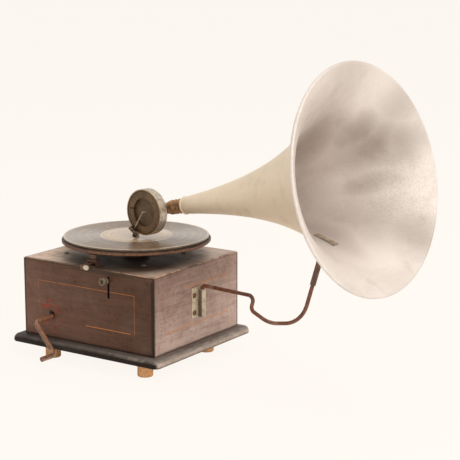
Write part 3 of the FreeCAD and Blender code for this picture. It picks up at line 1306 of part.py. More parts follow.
def build_soundbox():
    rim = "box_diameter / 2"
    seat = f"{rim} - box_wall"
    ledge = f"{seat} - box_ledge_width"
    shell = turned([(elbow_radius, "-box_boss_height"), ("box_boss_diameter / 2", "-box_boss_height"),
                    ("box_boss_diameter / 2", "0"), (f"{rim} - box_edge", "0"), (rim, "box_edge"),
                    (rim, "box_depth"), (seat, "box_depth"), (seat, "box_ledge_height"),
                    (ledge, "box_ledge_height"), (ledge, "box_back"), (elbow_radius, "box_back")],
                   Placement())
    bridge_middle = size("box_diameter") / 2 - size("box_wall") / 2
    corner = stylus_point(bridge_middle - size("bridge_width") / 2, -size("bridge_length") / 2,
                          size("box_depth"))
    turn = Rotation(stylus_out, stylus_across, Z_AXIS, "XYZ")
    block = box("bridge_width", "bridge_length", "bridge_height", Placement(corner, turn))
    slot_half = size("stylus_bar_diameter") / 2 + size("bridge_slot_gap")
    slot_corner = stylus_point(bridge_middle - size("bridge_width"), -slot_half, size("box_depth"))
    slot = box("2 * bridge_width", "stylus_bar_diameter + 2 * bridge_slot_gap", "2 * bridge_height",
               Placement(slot_corner, turn))
    along = Rotation(Z_AXIS, stylus_across)
    pin_start = stylus_point(bridge_middle, -size("bridge_length") / 2, stylus_level)
    pin_hole = cylinder("bridge_pin_diameter + 2 * running_clearance", "bridge_length",
                        Placement(pin_start, along))
    piece("soundbox_shell", put(fuse(shell, cut(block, slot, pin_hole)), box_frame))

    inner = f"2 * ({seat} - ring_clearance - gasket_width)"
    outer = f"2 * ({seat} - ring_clearance)"
    levels = (size("box_ledge_height"),
              size("box_ledge_height") + size("gasket_thickness") + size("diaphragm_thickness"))
    rings = [tube(outer, inner, "gasket_thickness", box_frame * at(z=level)) for level in levels]
    piece("gaskets", group(*rings))
    diaphragm_floor = size("box_ledge_height") + size("gasket_thickness")
    piece("diaphragm", cylinder(outer, "diaphragm_thickness", box_frame * at(z=diaphragm_floor)))

    bottom = "box_ledge_height + 2 * gasket_thickness + diaphragm_thickness"
    face = "box_depth - ring_setback"
    ring = turned([(f"({inner}) / 2", bottom), (f"({outer}) / 2", bottom), (f"({outer}) / 2", face),
                   ("ring_opening / 2", face), ("ring_opening / 2", f"{face} - ring_lip"),
                   (f"({inner}) / 2", f"{face} - ring_lip")], Placement())
    screw_radius = (size("box_diameter") / 2 - size("box_wall") - size("ring_clearance")
                    - size("face_screw_inset") / 2)
    face_level = size("box_depth") - size("ring_setback")
    holes = []
    screws = []
    for third in range(3):
        angle = math.radians(size("face_screw_turn") + 120 * third)
        spot = box_direction(math.cos(angle), math.sin(angle)) * screw_radius + Z_AXIS * face_level
        shank_place = Placement(spot - Z_AXIS * size("ring_lip"), Rotation())
        holes.append(cylinder("face_screw_diameter", "ring_lip", shank_place))
        shank = cylinder("face_screw_diameter", "ring_lip", shank_place)
        head = dome("face_screw_head", "face_screw_height", Placement(spot, Rotation()))
        screws.append(put(fuse(shank, head), box_frame))
    piece("soundbox_ring", put(cut(ring, *holes), box_frame))
    piece("face_screws", group(*screws))

    diaphragm_top = diaphragm_floor + size("diaphragm_thickness")
    foot = doc.addObject("Part::Cylinder", "Foot")
    bind(foot, Radius="stylus_foot_diameter / 2")
    foot.Height = stylus_level - diaphragm_top
    put(foot, at(z=diaphragm_top))
    out_turn = Rotation(Z_AXIS, stylus_out)
    bar = doc.addObject("Part::Cylinder", "Bar")
    bind(bar, Radius="stylus_bar_diameter / 2")
    bar.Height = holder_radius
    put(bar, Placement(stylus_point(0, 0, stylus_level), out_turn))
    pin = cylinder("bridge_pin_diameter", "bridge_length", Placement(pin_start, along))
    holder = cylinder("holder_diameter", "holder_back + holder_front",
                      Placement(stylus_point(holder_radius, -size("holder_back"), stylus_level), along))
    socket_start = size("holder_front") - size("needle_grip")
    socket = cylinder("needle_diameter", "needle_grip",
                      Placement(stylus_point(holder_radius, socket_start, stylus_level), along))
    thumb_at = size("thumb_station")
    thumb_hole = cylinder("thumb_shank + 2 * running_clearance", "holder_diameter",
                          Placement(stylus_point(holder_radius, thumb_at, stylus_level), out_turn))
    piece("stylus_lever", put(cut(fuse(foot, bar, pin, holder), socket, thumb_hole), box_frame))

    middle_z = throat.z - size("box_setback") * math.sin(elevation)
    fall = middle_z - holder_radius * math.cos(stylus_lean) - record_top - size("needle_gap")
    tip_across = fall / math.sin(stylus_lean)
    straight = tip_across - size("needle_taper") - socket_start
    wire = doc.addObject("Part::Cylinder", "Wire")
    bind(wire, Radius="needle_diameter / 2")
    wire.Height = straight
    put(wire, Placement(stylus_point(holder_radius, socket_start, stylus_level), along))
    point = bind(doc.addObject("Part::Cone", "Point"), Radius1="needle_diameter / 2", Height="needle_taper")
    point.Radius2 = 0
    put(point, Placement(stylus_point(holder_radius, socket_start + straight, stylus_level), along))
    piece("needle", put(fuse(wire, point), box_frame))

    start = holder_radius + size("needle_diameter") / 2 + clearance
    head_start = holder_radius + size("holder_diameter") / 2 + shoulder
    shank = doc.addObject("Part::Cylinder", "Shank")
    bind(shank, Radius="thumb_shank / 2")
    shank.Height = head_start - start
    put(shank, Placement(stylus_point(start, thumb_at, stylus_level), out_turn))
    head = cylinder("thumb_diameter", "thumb_thickness",
                    Placement(stylus_point(head_start, thumb_at, stylus_level), out_turn))
    piece("needle_screw", put(fuse(shank, head), box_frame))


def check(items):
    """Stop on any feature that did not build."""
    for item in doc.Objects:
        if "Invalid" in item.State or "Error" in item.State:
            raise RuntimeError(f"{item.Label} did not build: {item.State}")
    for item in items:
        if item.Shape.isNull() or not item.Shape.isValid():
            raise RuntimeError(f"{item.Label} has no valid shape")


def centre_on_origin(items):
    """Move everything so that the whole object's footprint box is centred on the origin."""
    whole = FreeCAD.BoundBox()
    for item in items:
        whole.add(item.Shape.optimalBoundingBox(False, False))
    shift = at(-whole.Center.x, -whole.Center.y, -whole.ZMin)
    for item in items:
        item.Placement = shift * item.Placement
    doc.recompute()
    print("shift", tuple(shift.Base), "box", whole)


build_case()
build_top_board()
build_plinth()
build_feet()
build_record_stack()
build_spindle()
build_train()
build_barrel()
build_winding()
build_motor_frame()
build_speed_lever()
build_governor()
build_brake()
build_bracket()
build_horn()
build_horn_foot()
build_arm()
build_neck()
build_soundbox()
doc.recompute()
check(PIECES)
centre_on_origin(PIECES)
check(PIECES)
for item in PIECES:
    item.Shape.exportStep(f"parts/{item.Label}.step")
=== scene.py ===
import json
import math
from functools import partial

import bpy
import numpy as np
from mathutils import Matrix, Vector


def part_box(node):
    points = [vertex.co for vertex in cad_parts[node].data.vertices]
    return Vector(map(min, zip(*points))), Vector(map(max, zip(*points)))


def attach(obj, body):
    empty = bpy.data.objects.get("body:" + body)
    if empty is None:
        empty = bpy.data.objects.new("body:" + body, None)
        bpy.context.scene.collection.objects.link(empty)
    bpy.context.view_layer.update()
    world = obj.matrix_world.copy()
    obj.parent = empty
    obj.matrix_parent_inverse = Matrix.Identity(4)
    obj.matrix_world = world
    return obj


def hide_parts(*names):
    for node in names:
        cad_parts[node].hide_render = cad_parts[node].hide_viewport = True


bl_info = {
    "name": "Horn gramophone finishes",
    "version": (1, 0, 0),
    "blender": (4, 5, 0),
    "location": "View3D > Sidebar > Gramophone",
    "description": "Finishes, soft pieces and a plain studio for a small table gramophone",
    "category": "Object",
}

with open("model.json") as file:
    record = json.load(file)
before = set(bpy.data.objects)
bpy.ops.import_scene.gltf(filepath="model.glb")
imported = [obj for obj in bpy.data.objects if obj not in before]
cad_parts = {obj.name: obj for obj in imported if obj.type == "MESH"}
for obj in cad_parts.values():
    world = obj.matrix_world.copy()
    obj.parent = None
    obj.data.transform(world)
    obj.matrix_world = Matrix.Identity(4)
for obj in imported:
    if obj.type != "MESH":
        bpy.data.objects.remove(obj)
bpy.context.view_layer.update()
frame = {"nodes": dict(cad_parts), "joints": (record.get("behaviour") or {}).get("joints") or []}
NODES = frame["nodes"]
JOINTS = {joint["name"]: joint for joint in frame["joints"]}
MM = 0.001
UP = (0.0, 0.0, 1.0)
TO_BACK = (0.0, 1.0, 0.0)
ZERO = (0.0, 0.0, 0.0)
HALVES = (0.5, 0.5, 0.5)
ONES = (1.0, 1.0, 1.0)


def pivot(joint):
    """The point that a joint turns about."""
    return tuple(JOINTS[joint]["pos_m"])


def middle_of(node):
    """The middle of a CAD node's box."""
    return tuple(np.mean(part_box(node), axis=0))


def about_axis(node, centre, axis):
    """Distances of a CAD node's corners along an axis and out from it."""
    vertices = NODES[node].data.vertices
    flat = np.empty(len(vertices) * 3)
    vertices.foreach_get("co", flat)
    offset = flat.reshape(-1, 3) - np.array(centre)
    along = offset @ np.array(axis)
    return along, np.linalg.norm(offset - along[:, None] * np.array(axis), axis=1)


# Centre lines of the model, in metres, in the frame of the CAD
SPINDLE = pivot("turntable_spin")
TRAIN = pivot("train_spin")
BARREL = pivot("barrel_spin")
GOVERNOR = pivot("governor_spin")
CRANK = pivot("crank_turn")
HORN_AXIS = tuple(JOINTS["soundbox_turn"]["axis"])
SLEEVE_MIDDLE = pivot("soundbox_turn")
SLEEVE_HALF = float(about_axis("neck_sleeve", SLEEVE_MIDDLE, HORN_AXIS)[0].max())
THROAT = tuple(np.array(SLEEVE_MIDDLE) + SLEEVE_HALF * np.array(HORN_AXIS))
BOX_FACE = tuple(-np.array(JOINTS["horn_lift"]["axis"]))
BOX_MIDDLE = middle_of("soundbox_ring")
CASE_LOW = np.array(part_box("case_left")[0])
CASE_HIGH = np.array((*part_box("case_right")[1][:2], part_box("top_board")[1][2]))

# Tints that darken a finish, as seen on a screen
FIGURE_TINT = (0.8, 0.77, 0.75)
PORE_TINT = (0.7, 0.65, 0.62)
FLECK_TINT = (0.62, 0.55, 0.5)
EDGE_SHADE_TINT = (0.4, 0.34, 0.3)
SPUN_TINT = (0.78, 0.76, 0.73)
DULL_TINT = (0.8, 0.78, 0.76)
PIT_TINT = (0.5, 0.46, 0.42)
SPECK_TINT = (0.62, 0.59, 0.56)


def shade(colour):
    """A colour as seen on a screen, turned into the linear values that a shader socket takes."""
    linear = [c / 12.92 if c <= 0.04045 else ((c + 0.055) / 1.055) ** 2.4 for c in colour]
    return (*linear, 1.0)


def darker(colour, share):
    return [channel * share for channel in colour]


def lighter(colour, share):
    return [1 - (1 - channel) * share for channel in colour]


def colour_property(name, description, red, green, blue):
    return bpy.props.FloatVectorProperty(
        name=name, description=description, subtype="COLOR_GAMMA", size=3, min=0.0, max=1.0,
        default=(red / 255, green / 255, blue / 255))


def number_property(name, description, default, **kind):
    return bpy.props.FloatProperty(name=name, description=description, default=default, **kind)


class StudioSettings(bpy.types.PropertyGroup):
    camera_place: bpy.props.FloatVectorProperty(
        name="Camera place", description="Where the camera stands", subtype="TRANSLATION", unit="LENGTH",
        default=(0.93395, -1.33135, 0.506))
    camera_turn: number_property(
        "Camera turn", "Turn of the view about the vertical", math.radians(34.138), subtype="ANGLE")
    camera_tilt: number_property(
        "Camera tilt", "How far the view looks down", math.radians(11.708), subtype="ANGLE")
    lens: number_property("Lens", "Focal length on a 36 mm wide sensor", 113.478, unit="CAMERA")
    floor_reach: number_property("Floor reach", "Half the side of the floor", 40.0, unit="LENGTH")
    paper: colour_property("Paper", "Colour of the floor and the background", 255, 250, 243)
    key_power: number_property("Key light", "Power of the large lamp on the right", 42.0, unit="POWER")
    top_power: number_property("Top light", "Power of the large lamp above", 20.0, unit="POWER")
    sky_strength: number_property("Sky light", "Strength of the light from all round", 0.42)


class WoodSettings(bpy.types.PropertyGroup):
    # Each face of the case has its own tone, the front darkest and the sides and top lighter: painted light and
    # shade, as the light falls from the right and above. The lit tones are painted light, laid on in ramps
    # across the faces.
    front: colour_property("Front varnish", "Dark red-brown varnish of the front", 97, 67, 51)
    front_lit: colour_property("Faded front varnish", "Front varnish where light faded it", 134, 99, 83)
    side: colour_property("Side varnish", "Varnish of the sides", 138, 109, 97)
    side_lit: colour_property("Faded side varnish", "Side varnish where light faded it", 220, 195, 184)
    top: colour_property("Top varnish", "Rubbed varnish of the top board", 194, 171, 156)
    top_lit: colour_property("Faded top varnish", "Top varnish where light faded it", 222, 194, 172)
    # Painted shadow cast by the turntable on the top board
    turntable_shadow: colour_property("Shaded varnish", "Unfaded varnish under the turntable", 72, 54, 41)
    # Plinth tones: the front darkened as painted shade, and the lit tone lighter as painted light on the sides
    # and top
    plinth: colour_property("Plinth stain", "Dark stain on the plinth's front", 34, 19, 10)
    plinth_lit: colour_property("Faded plinth stain", "Stain on the plinth's sides", 200, 184, 172)
    bare: colour_property("Bare wood", "Wood that shows where the varnish is rubbed off", 208, 166, 136)
    gold: colour_property("Gold line", "Painted lines on the case", 204, 128, 66)
    red: colour_property("Red paint", "Worn scrolls round the crank", 168, 62, 44)
    cork: colour_property("Cork", "Feet", 252, 186, 122)


class MetalSettings(bpy.types.PropertyGroup):
    horn_outside: colour_property("Horn outside", "Spun aluminium, outside", 246, 229, 205)
    horn_inside: colour_property("Horn inside", "Spun aluminium, inside", 236, 226, 218)
    # Painted shade deep in the bell, and in clouds of painted shade and reflection
    horn_shaded: colour_property("Horn depth", "Dull aluminium deep in the bell", 164, 150, 140)
    nickel: colour_property("Nickel", "Worn plating", 204, 182, 154)
    bronze: colour_property("Bronze", "Face ring of the sound box", 118, 90, 60)
    rust: colour_property("Brown steel", "Oxidised crank and fittings", 152, 104, 76)
    wire: colour_property("Wire arm", "Red-brown steel of the bent arm", 135, 79, 51)
    brass: colour_property("Brass", "Motor plates and wheels", 190, 150, 84)
    steel: colour_property("Steel", "Arbors and small screws", 168, 160, 150)
    table: colour_property("Turntable", "Dark stain of the turntable", 78, 57, 42)


class SoftSettings(bpy.types.PropertyGroup):
    leather: colour_property("Leather", "Neck sleeve and pads", 188, 134, 80)
    felt: colour_property("Felt", "Mat under the disc", 58, 44, 34)
    rubber: colour_property("Rubber", "Gaskets of the sound box", 62, 54, 48)
    shellac: colour_property("Shellac", "Disc record", 92, 70, 50)
    # Also the tone of the painted highlight round the disc's rim
    dust: colour_property("Dust", "Pale dust on the disc", 214, 184, 150)
    fold_depth: number_property("Fold depth", "Height of the neck sleeve's creases", 0.35 * MM, unit="LENGTH")
    groove_pitch: number_property("Groove pitch", "Step of the disc's spiral", 0.45 * MM, unit="LENGTH")
    groove_depth: number_property("Groove depth", "Depth of the disc's groove", 0.06 * MM, unit="LENGTH")


def put_in_scene(name, data):
    thing = bpy.data.objects.new(name, data)
    bpy.context.scene.collection.objects.link(thing)
    return thing


def ring_faces(rows, columns, closed):
    """Quads of a grid whose columns wrap round; its rows wrap too if closed."""
    row = np.arange(rows if closed else rows - 1)[:, None]
    column = np.arange(columns)[None, :]
    beside = (column + 1) % columns
    here, below = row * columns, (row + 1) % rows * columns
    corners = [here + column, here + beside, below + beside, below + column]
    return np.stack(np.broadcast_arrays(*corners), axis=-1).reshape(-1, 4)


def faces_inward(points, faces):
    """Whether a mesh of quads, each taken as two triangles about the middle, encloses a negative volume."""
    a, b, c, d = (points[faces[:, corner]] - points.mean(axis=0) for corner in range(4))
    return (np.einsum("ij,ij->i", a, np.cross(b, c)) + np.einsum("ij,ij->i", a, np.cross(c, d))).sum() < 0


def make_piece(name, surface, finish, body, slot, *nodes):
    """Put a surface into the scene as a piece that stands for CAD nodes and moves with their body."""
    points, faces, caps = surface
    points = points.reshape(-1, 3)
    polygons = faces.tolist() + [cap.tolist() for cap in caps]
    if faces_inward(points, faces):
        polygons = [polygon[::-1] for polygon in polygons]
    mesh = bpy.data.meshes.new(name)
    mesh.from_pydata(points.tolist(), [], polygons)
    mesh.polygons.foreach_set("use_smooth", np.ones(len(polygons), dtype=bool))
    mesh.materials.append(finish)
    piece = put_in_scene(name, mesh)
    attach(piece, body)
    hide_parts(*nodes)
    return piece


def side_directions(axis):
    """An axis made one long, and two directions square to it and to each other."""
    axis = np.array(axis) / np.linalg.norm(axis)
    guide = np.array(UP) if abs(axis[2]) < 0.9 else np.array((1.0, 0.0, 0.0))
    first = np.cross(guide, axis)
    first /= np.linalg.norm(first)
    return axis, first, np.cross(axis, first)


def circle(count):
    return np.linspace(0, 2 * np.pi, count, endpoint=False)


def turned_surface(centre, axis, along, radius, angles):
    """A closed profile carried round an axis: centre + along * axis + radius * (first cos a + second sin a).
    Along and radius have a row for each point of the profile, and one column or a column for each angle."""
    axis, first, second = side_directions(axis)
    out = np.cos(angles)[:, None] * first + np.sin(angles)[:, None] * second
    points = np.array(centre) + along[..., None] * axis + radius[..., None] * out[None]
    return points, ring_faces(*points.shape[:2], True), []


def rounded_block(centre, half, tilt):
    """A soft block: a superellipsoid, each coordinate half * sign(t) * |t| ** power of a sphere's sines and
    cosines, then turned about X by tilt. A flat cap closes each end."""
    rows, columns = 14, 28
    power = 0.35
    pole = 0.96 * np.pi / 2
    latitude = np.linspace(-pole, pole, rows)[:, None]
    longitude = circle(columns)[None]
    bulge = [np.cos(latitude) * np.cos(longitude), np.cos(latitude) * np.sin(longitude),
             np.sin(latitude) * np.ones_like(longitude)]
    x, y, z = (size * np.sign(t) * np.abs(t) ** power for size, t in zip(half, bulge))
    turned = [x, y * math.cos(tilt) - z * math.sin(tilt), y * math.sin(tilt) + z * math.cos(tilt)]
    caps = [np.arange(columns)[::-1], np.arange((rows - 1) * columns, rows * columns)]
    return np.array(centre) + np.stack(turned, axis=-1), ring_faces(rows, columns, False), caps


class Wiring:
    """Places nodes in one node tree and joins their sockets."""

    def __init__(self, tree):
        self.tree = tree
        tree.nodes.clear()

    def feed(self, socket, value):
        if isinstance(value, bpy.types.NodeSocket):
            self.tree.links.new(value, socket)
        else:
            socket.default_value = value

    def add(self, kind, inputs=None, **settings):
        node = self.tree.nodes.new(kind)
        for name, value in settings.items():
            setattr(node, name, value)
        for key, value in (inputs or {}).items():
            self.feed(node.inputs[key], value)
        return node

    def math(self, operation, first, second=0.0, third=0.0):
        inputs = {0: first, 1: second, 2: third}
        return self.add("ShaderNodeMath", inputs, operation=operation).outputs[0]

    def times(self, first, second):
        return self.math("MULTIPLY", first, second)

    def linear(self, value, slope, base):
        """Value * slope + base."""
        return self.math("MULTIPLY_ADD", value, slope, base)

    def vector(self, operation, first, second=ZERO):
        node = self.add("ShaderNodeVectorMath", {0: first, 1: second}, operation=operation)
        return node.outputs["Value" if operation in ("DOT_PRODUCT", "LENGTH", "DISTANCE") else "Vector"]

    def dot(self, first, second):
        return self.vector("DOT_PRODUCT", first, second)

    def offset(self, place, centre):
        return self.vector("SUBTRACT", place, centre)

    def scaled(self, vector, number):
        return self.add("ShaderNodeVectorMath", {0: vector, "Scale": number}, operation="SCALE").outputs[0]

    def parts(self, vector):
        return self.add("ShaderNodeSeparateXYZ", {0: vector}).outputs

    def flat(self, across, up):
        """A place on a plane."""
        return self.add("ShaderNodeCombineXYZ", {0: across, 1: up}).outputs[0]

    def mix(self, share, first, second, blend="MIX"):
        """Mix two colours, each a socket or a tone as seen on a screen."""
        first, second = (c if isinstance(c, bpy.types.NodeSocket) else shade(c) for c in (first, second))
        node = self.add("ShaderNodeMix", {0: share, 6: first, 7: second}, data_type="RGBA", blend_type=blend)
        return node.outputs[2]

    def stain(self, colour, mask, share, tone):
        """Cover a colour with a tone, by a share of the mask."""
        return self.mix(self.times(mask, share), colour, tone)

    def dim(self, colour, mask, share, tint):
        """Darken a colour by a tint, by a share of the mask."""
        return self.mix(self.times(mask, share), colour, tint, "MULTIPLY")

    def step(self, value, low, high, first=0.0, last=1.0):
        """A smooth change from first to last as the value goes from low to high."""
        inputs = {"Value": value, "From Min": low, "From Max": high, "To Min": first, "To Max": last}
        return self.add("ShaderNodeMapRange", inputs, interpolation_type="SMOOTHSTEP").outputs[0]

    def band(self, value, middle, inner, outer, strength):
        """A smooth band: strength up to inner from the middle value, none beyond outer."""
        away = self.math("ABSOLUTE", self.math("SUBTRACT", value, middle))
        return self.step(away, inner, outer, strength, 0.0)

    def spot(self, place, centre, inner, outer, strength=1.0, rest=0.0):
        """A smooth round spot: strength up to inner from the centre, the rest beyond outer."""
        return self.step(self.vector("DISTANCE", place, centre), inner, outer, strength, rest)

    def noise(self, vector, scale, detail=3.0, roughness=0.55, distortion=0.0):
        inputs = {"Vector": vector, "Scale": scale, "Detail": detail, "Roughness": roughness,
                  "Distortion": distortion}
        return self.add("ShaderNodeTexNoise", inputs).outputs[0]

    def noise_line(self, value, scale, detail):
        inputs = {"W": value, "Scale": scale, "Detail": detail}
        return self.add("ShaderNodeTexNoise", inputs, noise_dimensions="1D").outputs[0]

    def bump(self, height, distance, strength):
        inputs = {"Height": height, "Distance": distance, "Strength": strength}
        return self.add("ShaderNodeBump", inputs).outputs[0]


def wire_grain(w, given):
    """Figure: broad noise drawn out along the board. Pores: the same, finer. Ray: a slow change of tone."""
    drawn = w.vector("MULTIPLY", given["Place"], given["Stretch"])
    figure = w.noise(drawn, 1.0, 5.0, 0.6, 0.35)
    pores = w.noise(w.vector("MULTIPLY", drawn, (3.0, 3.0, 5.5)), 1.0, 3.0, 0.6)
    return {"Figure": w.step(figure, 0.3, 0.7), "Pores": w.step(pores, 0.5, 0.68),
            "Ray": w.noise(given["Place"], 14.0, 2.0)}


def wire_edge(w, given):
    """Nearness to a block's edges: the middle one of the distances to the block's three nearest sides is the
    distance to its nearest edge."""
    near = w.vector("MINIMUM", w.vector("ABSOLUTE", w.offset(given["Place"], given["Low"])),
                    w.vector("ABSOLUTE", w.offset(given["High"], given["Place"])))
    x, y, z = w.parts(near)
    middle = w.math("MAXIMUM", w.math("MINIMUM", x, y), w.math("MINIMUM", w.math("MAXIMUM", x, y), z))
    return {"Near": w.step(middle, 0.0, given["Reach"], 1.0, 0.0)}


def wire_light_ramps(w, given):
    """Ramps of painted light inside a block, for the lit tones. Front: share to the left ** 1.5 * (0.5 + 0.6 *
    share down).
    Side: 0.7 of the share down and 0.3 of the share to the back. Across: share to the right."""
    size = w.offset(given["High"], given["Low"])
    across, back, up = w.parts(w.vector("DIVIDE", w.offset(given["Place"], given["Low"]), size))
    down = w.math("SUBTRACT", 1.0, up)
    left = w.math("POWER", w.math("SUBTRACT", 1.0, across), 1.5)
    return {"Front": w.times(left, w.linear(down, 0.6, 0.5)), "Side": w.linear(down, 0.7, w.times(back, 0.3)),
            "Across": across}


def wire_line(w, given):
    """A painted straight line: a thin bar about its middle. Noise leaves gaps in the paint."""
    off = w.vector("ABSOLUTE", w.offset(given["Place"], given["Middle"]))
    x, y, _ = w.parts(w.offset(off, given["Half"]))
    bar = w.step(w.math("MAXIMUM", x, y), -0.2 * MM, 0.2 * MM, 1.0, 0.0)
    gaps = w.noise(given["Place"], 70.0, 4.0, 0.7)
    kept = w.step(gaps, w.math("SUBTRACT", given["Loss"], 0.08), w.math("ADD", given["Loss"], 0.04))
    return {"Paint": w.times(bar, kept)}


def wire_turned(w, given):
    """Marks of turning: noise of radius + 1.37 * distance along the axis, which puts rings on faces square to
    the axis as well as on round sides."""
    offset = w.offset(given["Place"], given["Centre"])
    along = w.dot(offset, given["Axis"])
    radius = w.vector("LENGTH", w.offset(offset, w.scaled(given["Axis"], along)))
    both = w.linear(along, 1.37, radius)
    return {"Along": along, "Radius": radius, "Fine": w.noise_line(both, given["Fineness"], 3.0),
            "Broad": w.noise_line(both, w.times(given["Fineness"], 0.13), 2.0)}


def wire_tarnish(w, given):
    """Blotches, fine speckles and pits of an old surface."""
    blotch = w.noise(given["Place"], given["Scale"], 5.0, 0.65, 0.6)
    speckle = w.noise(w.scaled(given["Place"], 6.3), given["Scale"], 3.0, 0.6)
    return {"Blotch": w.step(blotch, 0.36, 0.68), "Speckle": w.step(speckle, 0.52, 0.68),
            "Pits": w.step(speckle, 0.3, 0.7)}


def wire_scratch(w, given):
    """Thin scratches: the places where drawn-out noise passes its middle value, in two slants."""
    lines = []
    for slant, lean in ((0.35, 1.0), (-0.8, 0.6)):
        turned = w.add("ShaderNodeVectorRotate", {"Vector": given["Place"], "Angle": slant},
                       rotation_type="Y_AXIS").outputs[0]
        drawn = w.vector("MULTIPLY", turned, (9.0 * lean, 9.0, 120.0))
        lines.append(w.band(w.noise(drawn, 1.0, 2.0), 0.5, 0.0, 0.012, 1.0))
    patches = w.step(w.noise(given["Place"], 27.0, 2.0), 0.5, 0.64)
    return {"Scratch": w.times(w.math("MAXIMUM", *lines), patches)}


def make_effect(name, inputs, wire):
    """Build a shared node group. Inputs holds the defaults; wire gets the sockets and returns the outputs."""
    tree = bpy.data.node_groups.new(name, "ShaderNodeTree")
    for label, value in {"Place": ZERO, **inputs}.items():
        kind = "NodeSocketFloat" if isinstance(value, float) else "NodeSocketVector"
        tree.interface.new_socket(label, in_out="INPUT", socket_type=kind).default_value = value
    wiring = Wiring(tree)
    results = wire(wiring, wiring.add("NodeGroupInput").outputs)
    for label in results:
        tree.interface.new_socket(label, in_out="OUTPUT", socket_type="NodeSocketFloat")
    wiring.add("NodeGroupOutput", results)


def make_effects():
    make_effect("Wood grain", {"Stretch": ONES}, wire_grain)
    make_effect("Edge", {"Low": ZERO, "High": ONES, "Reach": 4 * MM}, wire_edge)
    make_effect("Painted light ramps", {"Low": ZERO, "High": ONES}, wire_light_ramps)
    make_effect("Painted line", {"Middle": ZERO, "Half": ONES, "Loss": 0.4}, wire_line)
    make_effect("Turned marks", {"Centre": ZERO, "Axis": UP, "Fineness": 900.0}, wire_turned)
    make_effect("Tarnish", {"Scale": 60.0}, wire_tarnish)
    make_effect("Scratches", {}, wire_scratch)


class Finish(Wiring):
    """A new material: its shader, its nodes, and the place and the facing of the surface."""

    def __init__(self, name, **constants):
        if "Wood grain" not in bpy.data.node_groups:
            make_effects()
        self.material = bpy.data.materials.new(name)
        self.material.use_nodes = True
        super().__init__(self.material.node_tree)
        self.shader = self.add("ShaderNodeBsdfPrincipled")
        self.add("ShaderNodeOutputMaterial", {"Surface": self.shader.outputs[0]})
        coordinates = self.add("ShaderNodeTexCoord")
        self.place = coordinates.outputs["Object"]
        self.normal = coordinates.outputs["Normal"]
        self.set(**constants)

    def effect(self, name, **inputs):
        """A shared effect with its own values, on the surface's place unless another is given."""
        inputs = {"Place": self.place, **inputs}
        return self.add("ShaderNodeGroup", node_tree=bpy.data.node_groups[name], inputs=inputs).outputs

    def on_front(self):
        x, _, z = self.parts(self.place)
        return self.flat(x, z)

    def on_side(self):
        _, y, z = self.parts(self.place)
        return self.flat(y, z)

    def seen_along(self, axis, offset):
        """An offset as it looks along an axis."""
        _, first, second = side_directions(axis)
        return self.flat(self.dot(offset, tuple(first)), self.dot(offset, tuple(second)))

    def set(self, **inputs):
        for key, value in inputs.items():
            self.feed(self.shader.inputs[key.replace("_", " ")], value)
        return self.material


def wear(material, *nodes):
    """Give CAD nodes their finish."""
    for name in nodes:
        if name not in NODES:
            raise RuntimeError(f"the model has no piece called {name}")
        NODES[name].data.materials.clear()
        NODES[name].data.materials.append(material)


def varnished_wood(name, tones, bare, stretch, low, high, decorate=None):
    """Varnished boards with painted light and shade: a tone for each way a face looks, lit in ramps of painted
    light;
    grain, pores, blotches, haze, faint scratches, painted shade along the edges, and bare chamfers rubbed at
    the right."""
    w = Finish(name, Specular_IOR_Level=0.18)
    front, front_lit, side, side_lit, top, top_lit = tones
    block = {"Low": tuple(low), "High": tuple(high)}
    grain = w.effect("Wood grain", Stretch=stretch)
    old = w.effect("Tarnish", Scale=26.0)
    edge = w.effect("Edge", Reach=3.6 * MM, **block)
    marks = w.effect("Scratches")
    light_ramps = w.effect("Painted light ramps", **block)
    _, across, up = w.parts(w.normal)
    # Painted light and shade: the front, side and top tones, each lit by its ramp of painted light
    dark = w.mix(light_ramps["Front"], front, front_lit)
    light = w.mix(light_ramps["Side"], side, side_lit)
    colour = w.mix(w.step(w.math("ABSOLUTE", across), 0.4, 0.85), light, dark)
    colour = w.mix(w.step(up, 0.3, 0.95), colour, w.mix(light_ramps["Across"], top_lit, top))
    colour = w.dim(colour, grain["Figure"], 0.45, FIGURE_TINT)
    colour = w.dim(colour, grain["Pores"], 0.42, PORE_TINT)
    colour = w.dim(colour, old["Blotch"], 0.45, FIGURE_TINT)
    colour = w.dim(colour, old["Speckle"], 0.3, FLECK_TINT)
    colour = w.mix(w.step(grain["Ray"], 0.42, 0.7, 0.0, 0.05), colour, side_lit)
    colour = w.stain(colour, marks["Scratch"], 0.02, side_lit)
    # Painted shade along the edges of the block
    colour = w.dim(colour, edge["Near"], 0.9, EDGE_SHADE_TINT)
    if decorate:
        colour = decorate(w, colour)
    chamfer = w.times(w.step(up, 0.35, 0.6), w.step(up, 0.8, 0.95, 1.0, 0.0))
    rubbed = w.times(chamfer, w.step(w.noise(w.place, 45.0, 4.0, 0.65), 0.4, 0.6))
    colour = w.mix(w.times(rubbed, w.step(light_ramps["Across"], 0.6, 1.0, 0.15, 0.8)), colour, bare)
    height = w.math("SUBTRACT", w.times(grain["Figure"], 0.3), grain["Pores"])
    return w.set(Base_Color=colour, Roughness=w.linear(old["Blotch"], 0.16, 0.42),
                 Normal=w.bump(height, 0.1 * MM, 0.5))


def painted_lines(w, flat, lines, colour, tone):
    """Straight lines, each with its two ends, its width, its strength and how much of it has worn away."""
    for start, end, width, strength, loss in lines:
        middle = [(a + b) / 2 for a, b in zip(start, end)]
        half = [abs(a - b) / 2 + width / 2 for a, b in zip(start, end)]
        line = w.effect("Painted line", Place=flat, Middle=(*middle, 0.0), Half=(*half, 1.0), Loss=loss)
        colour = w.stain(colour, line["Paint"], strength, tone)
    return colour


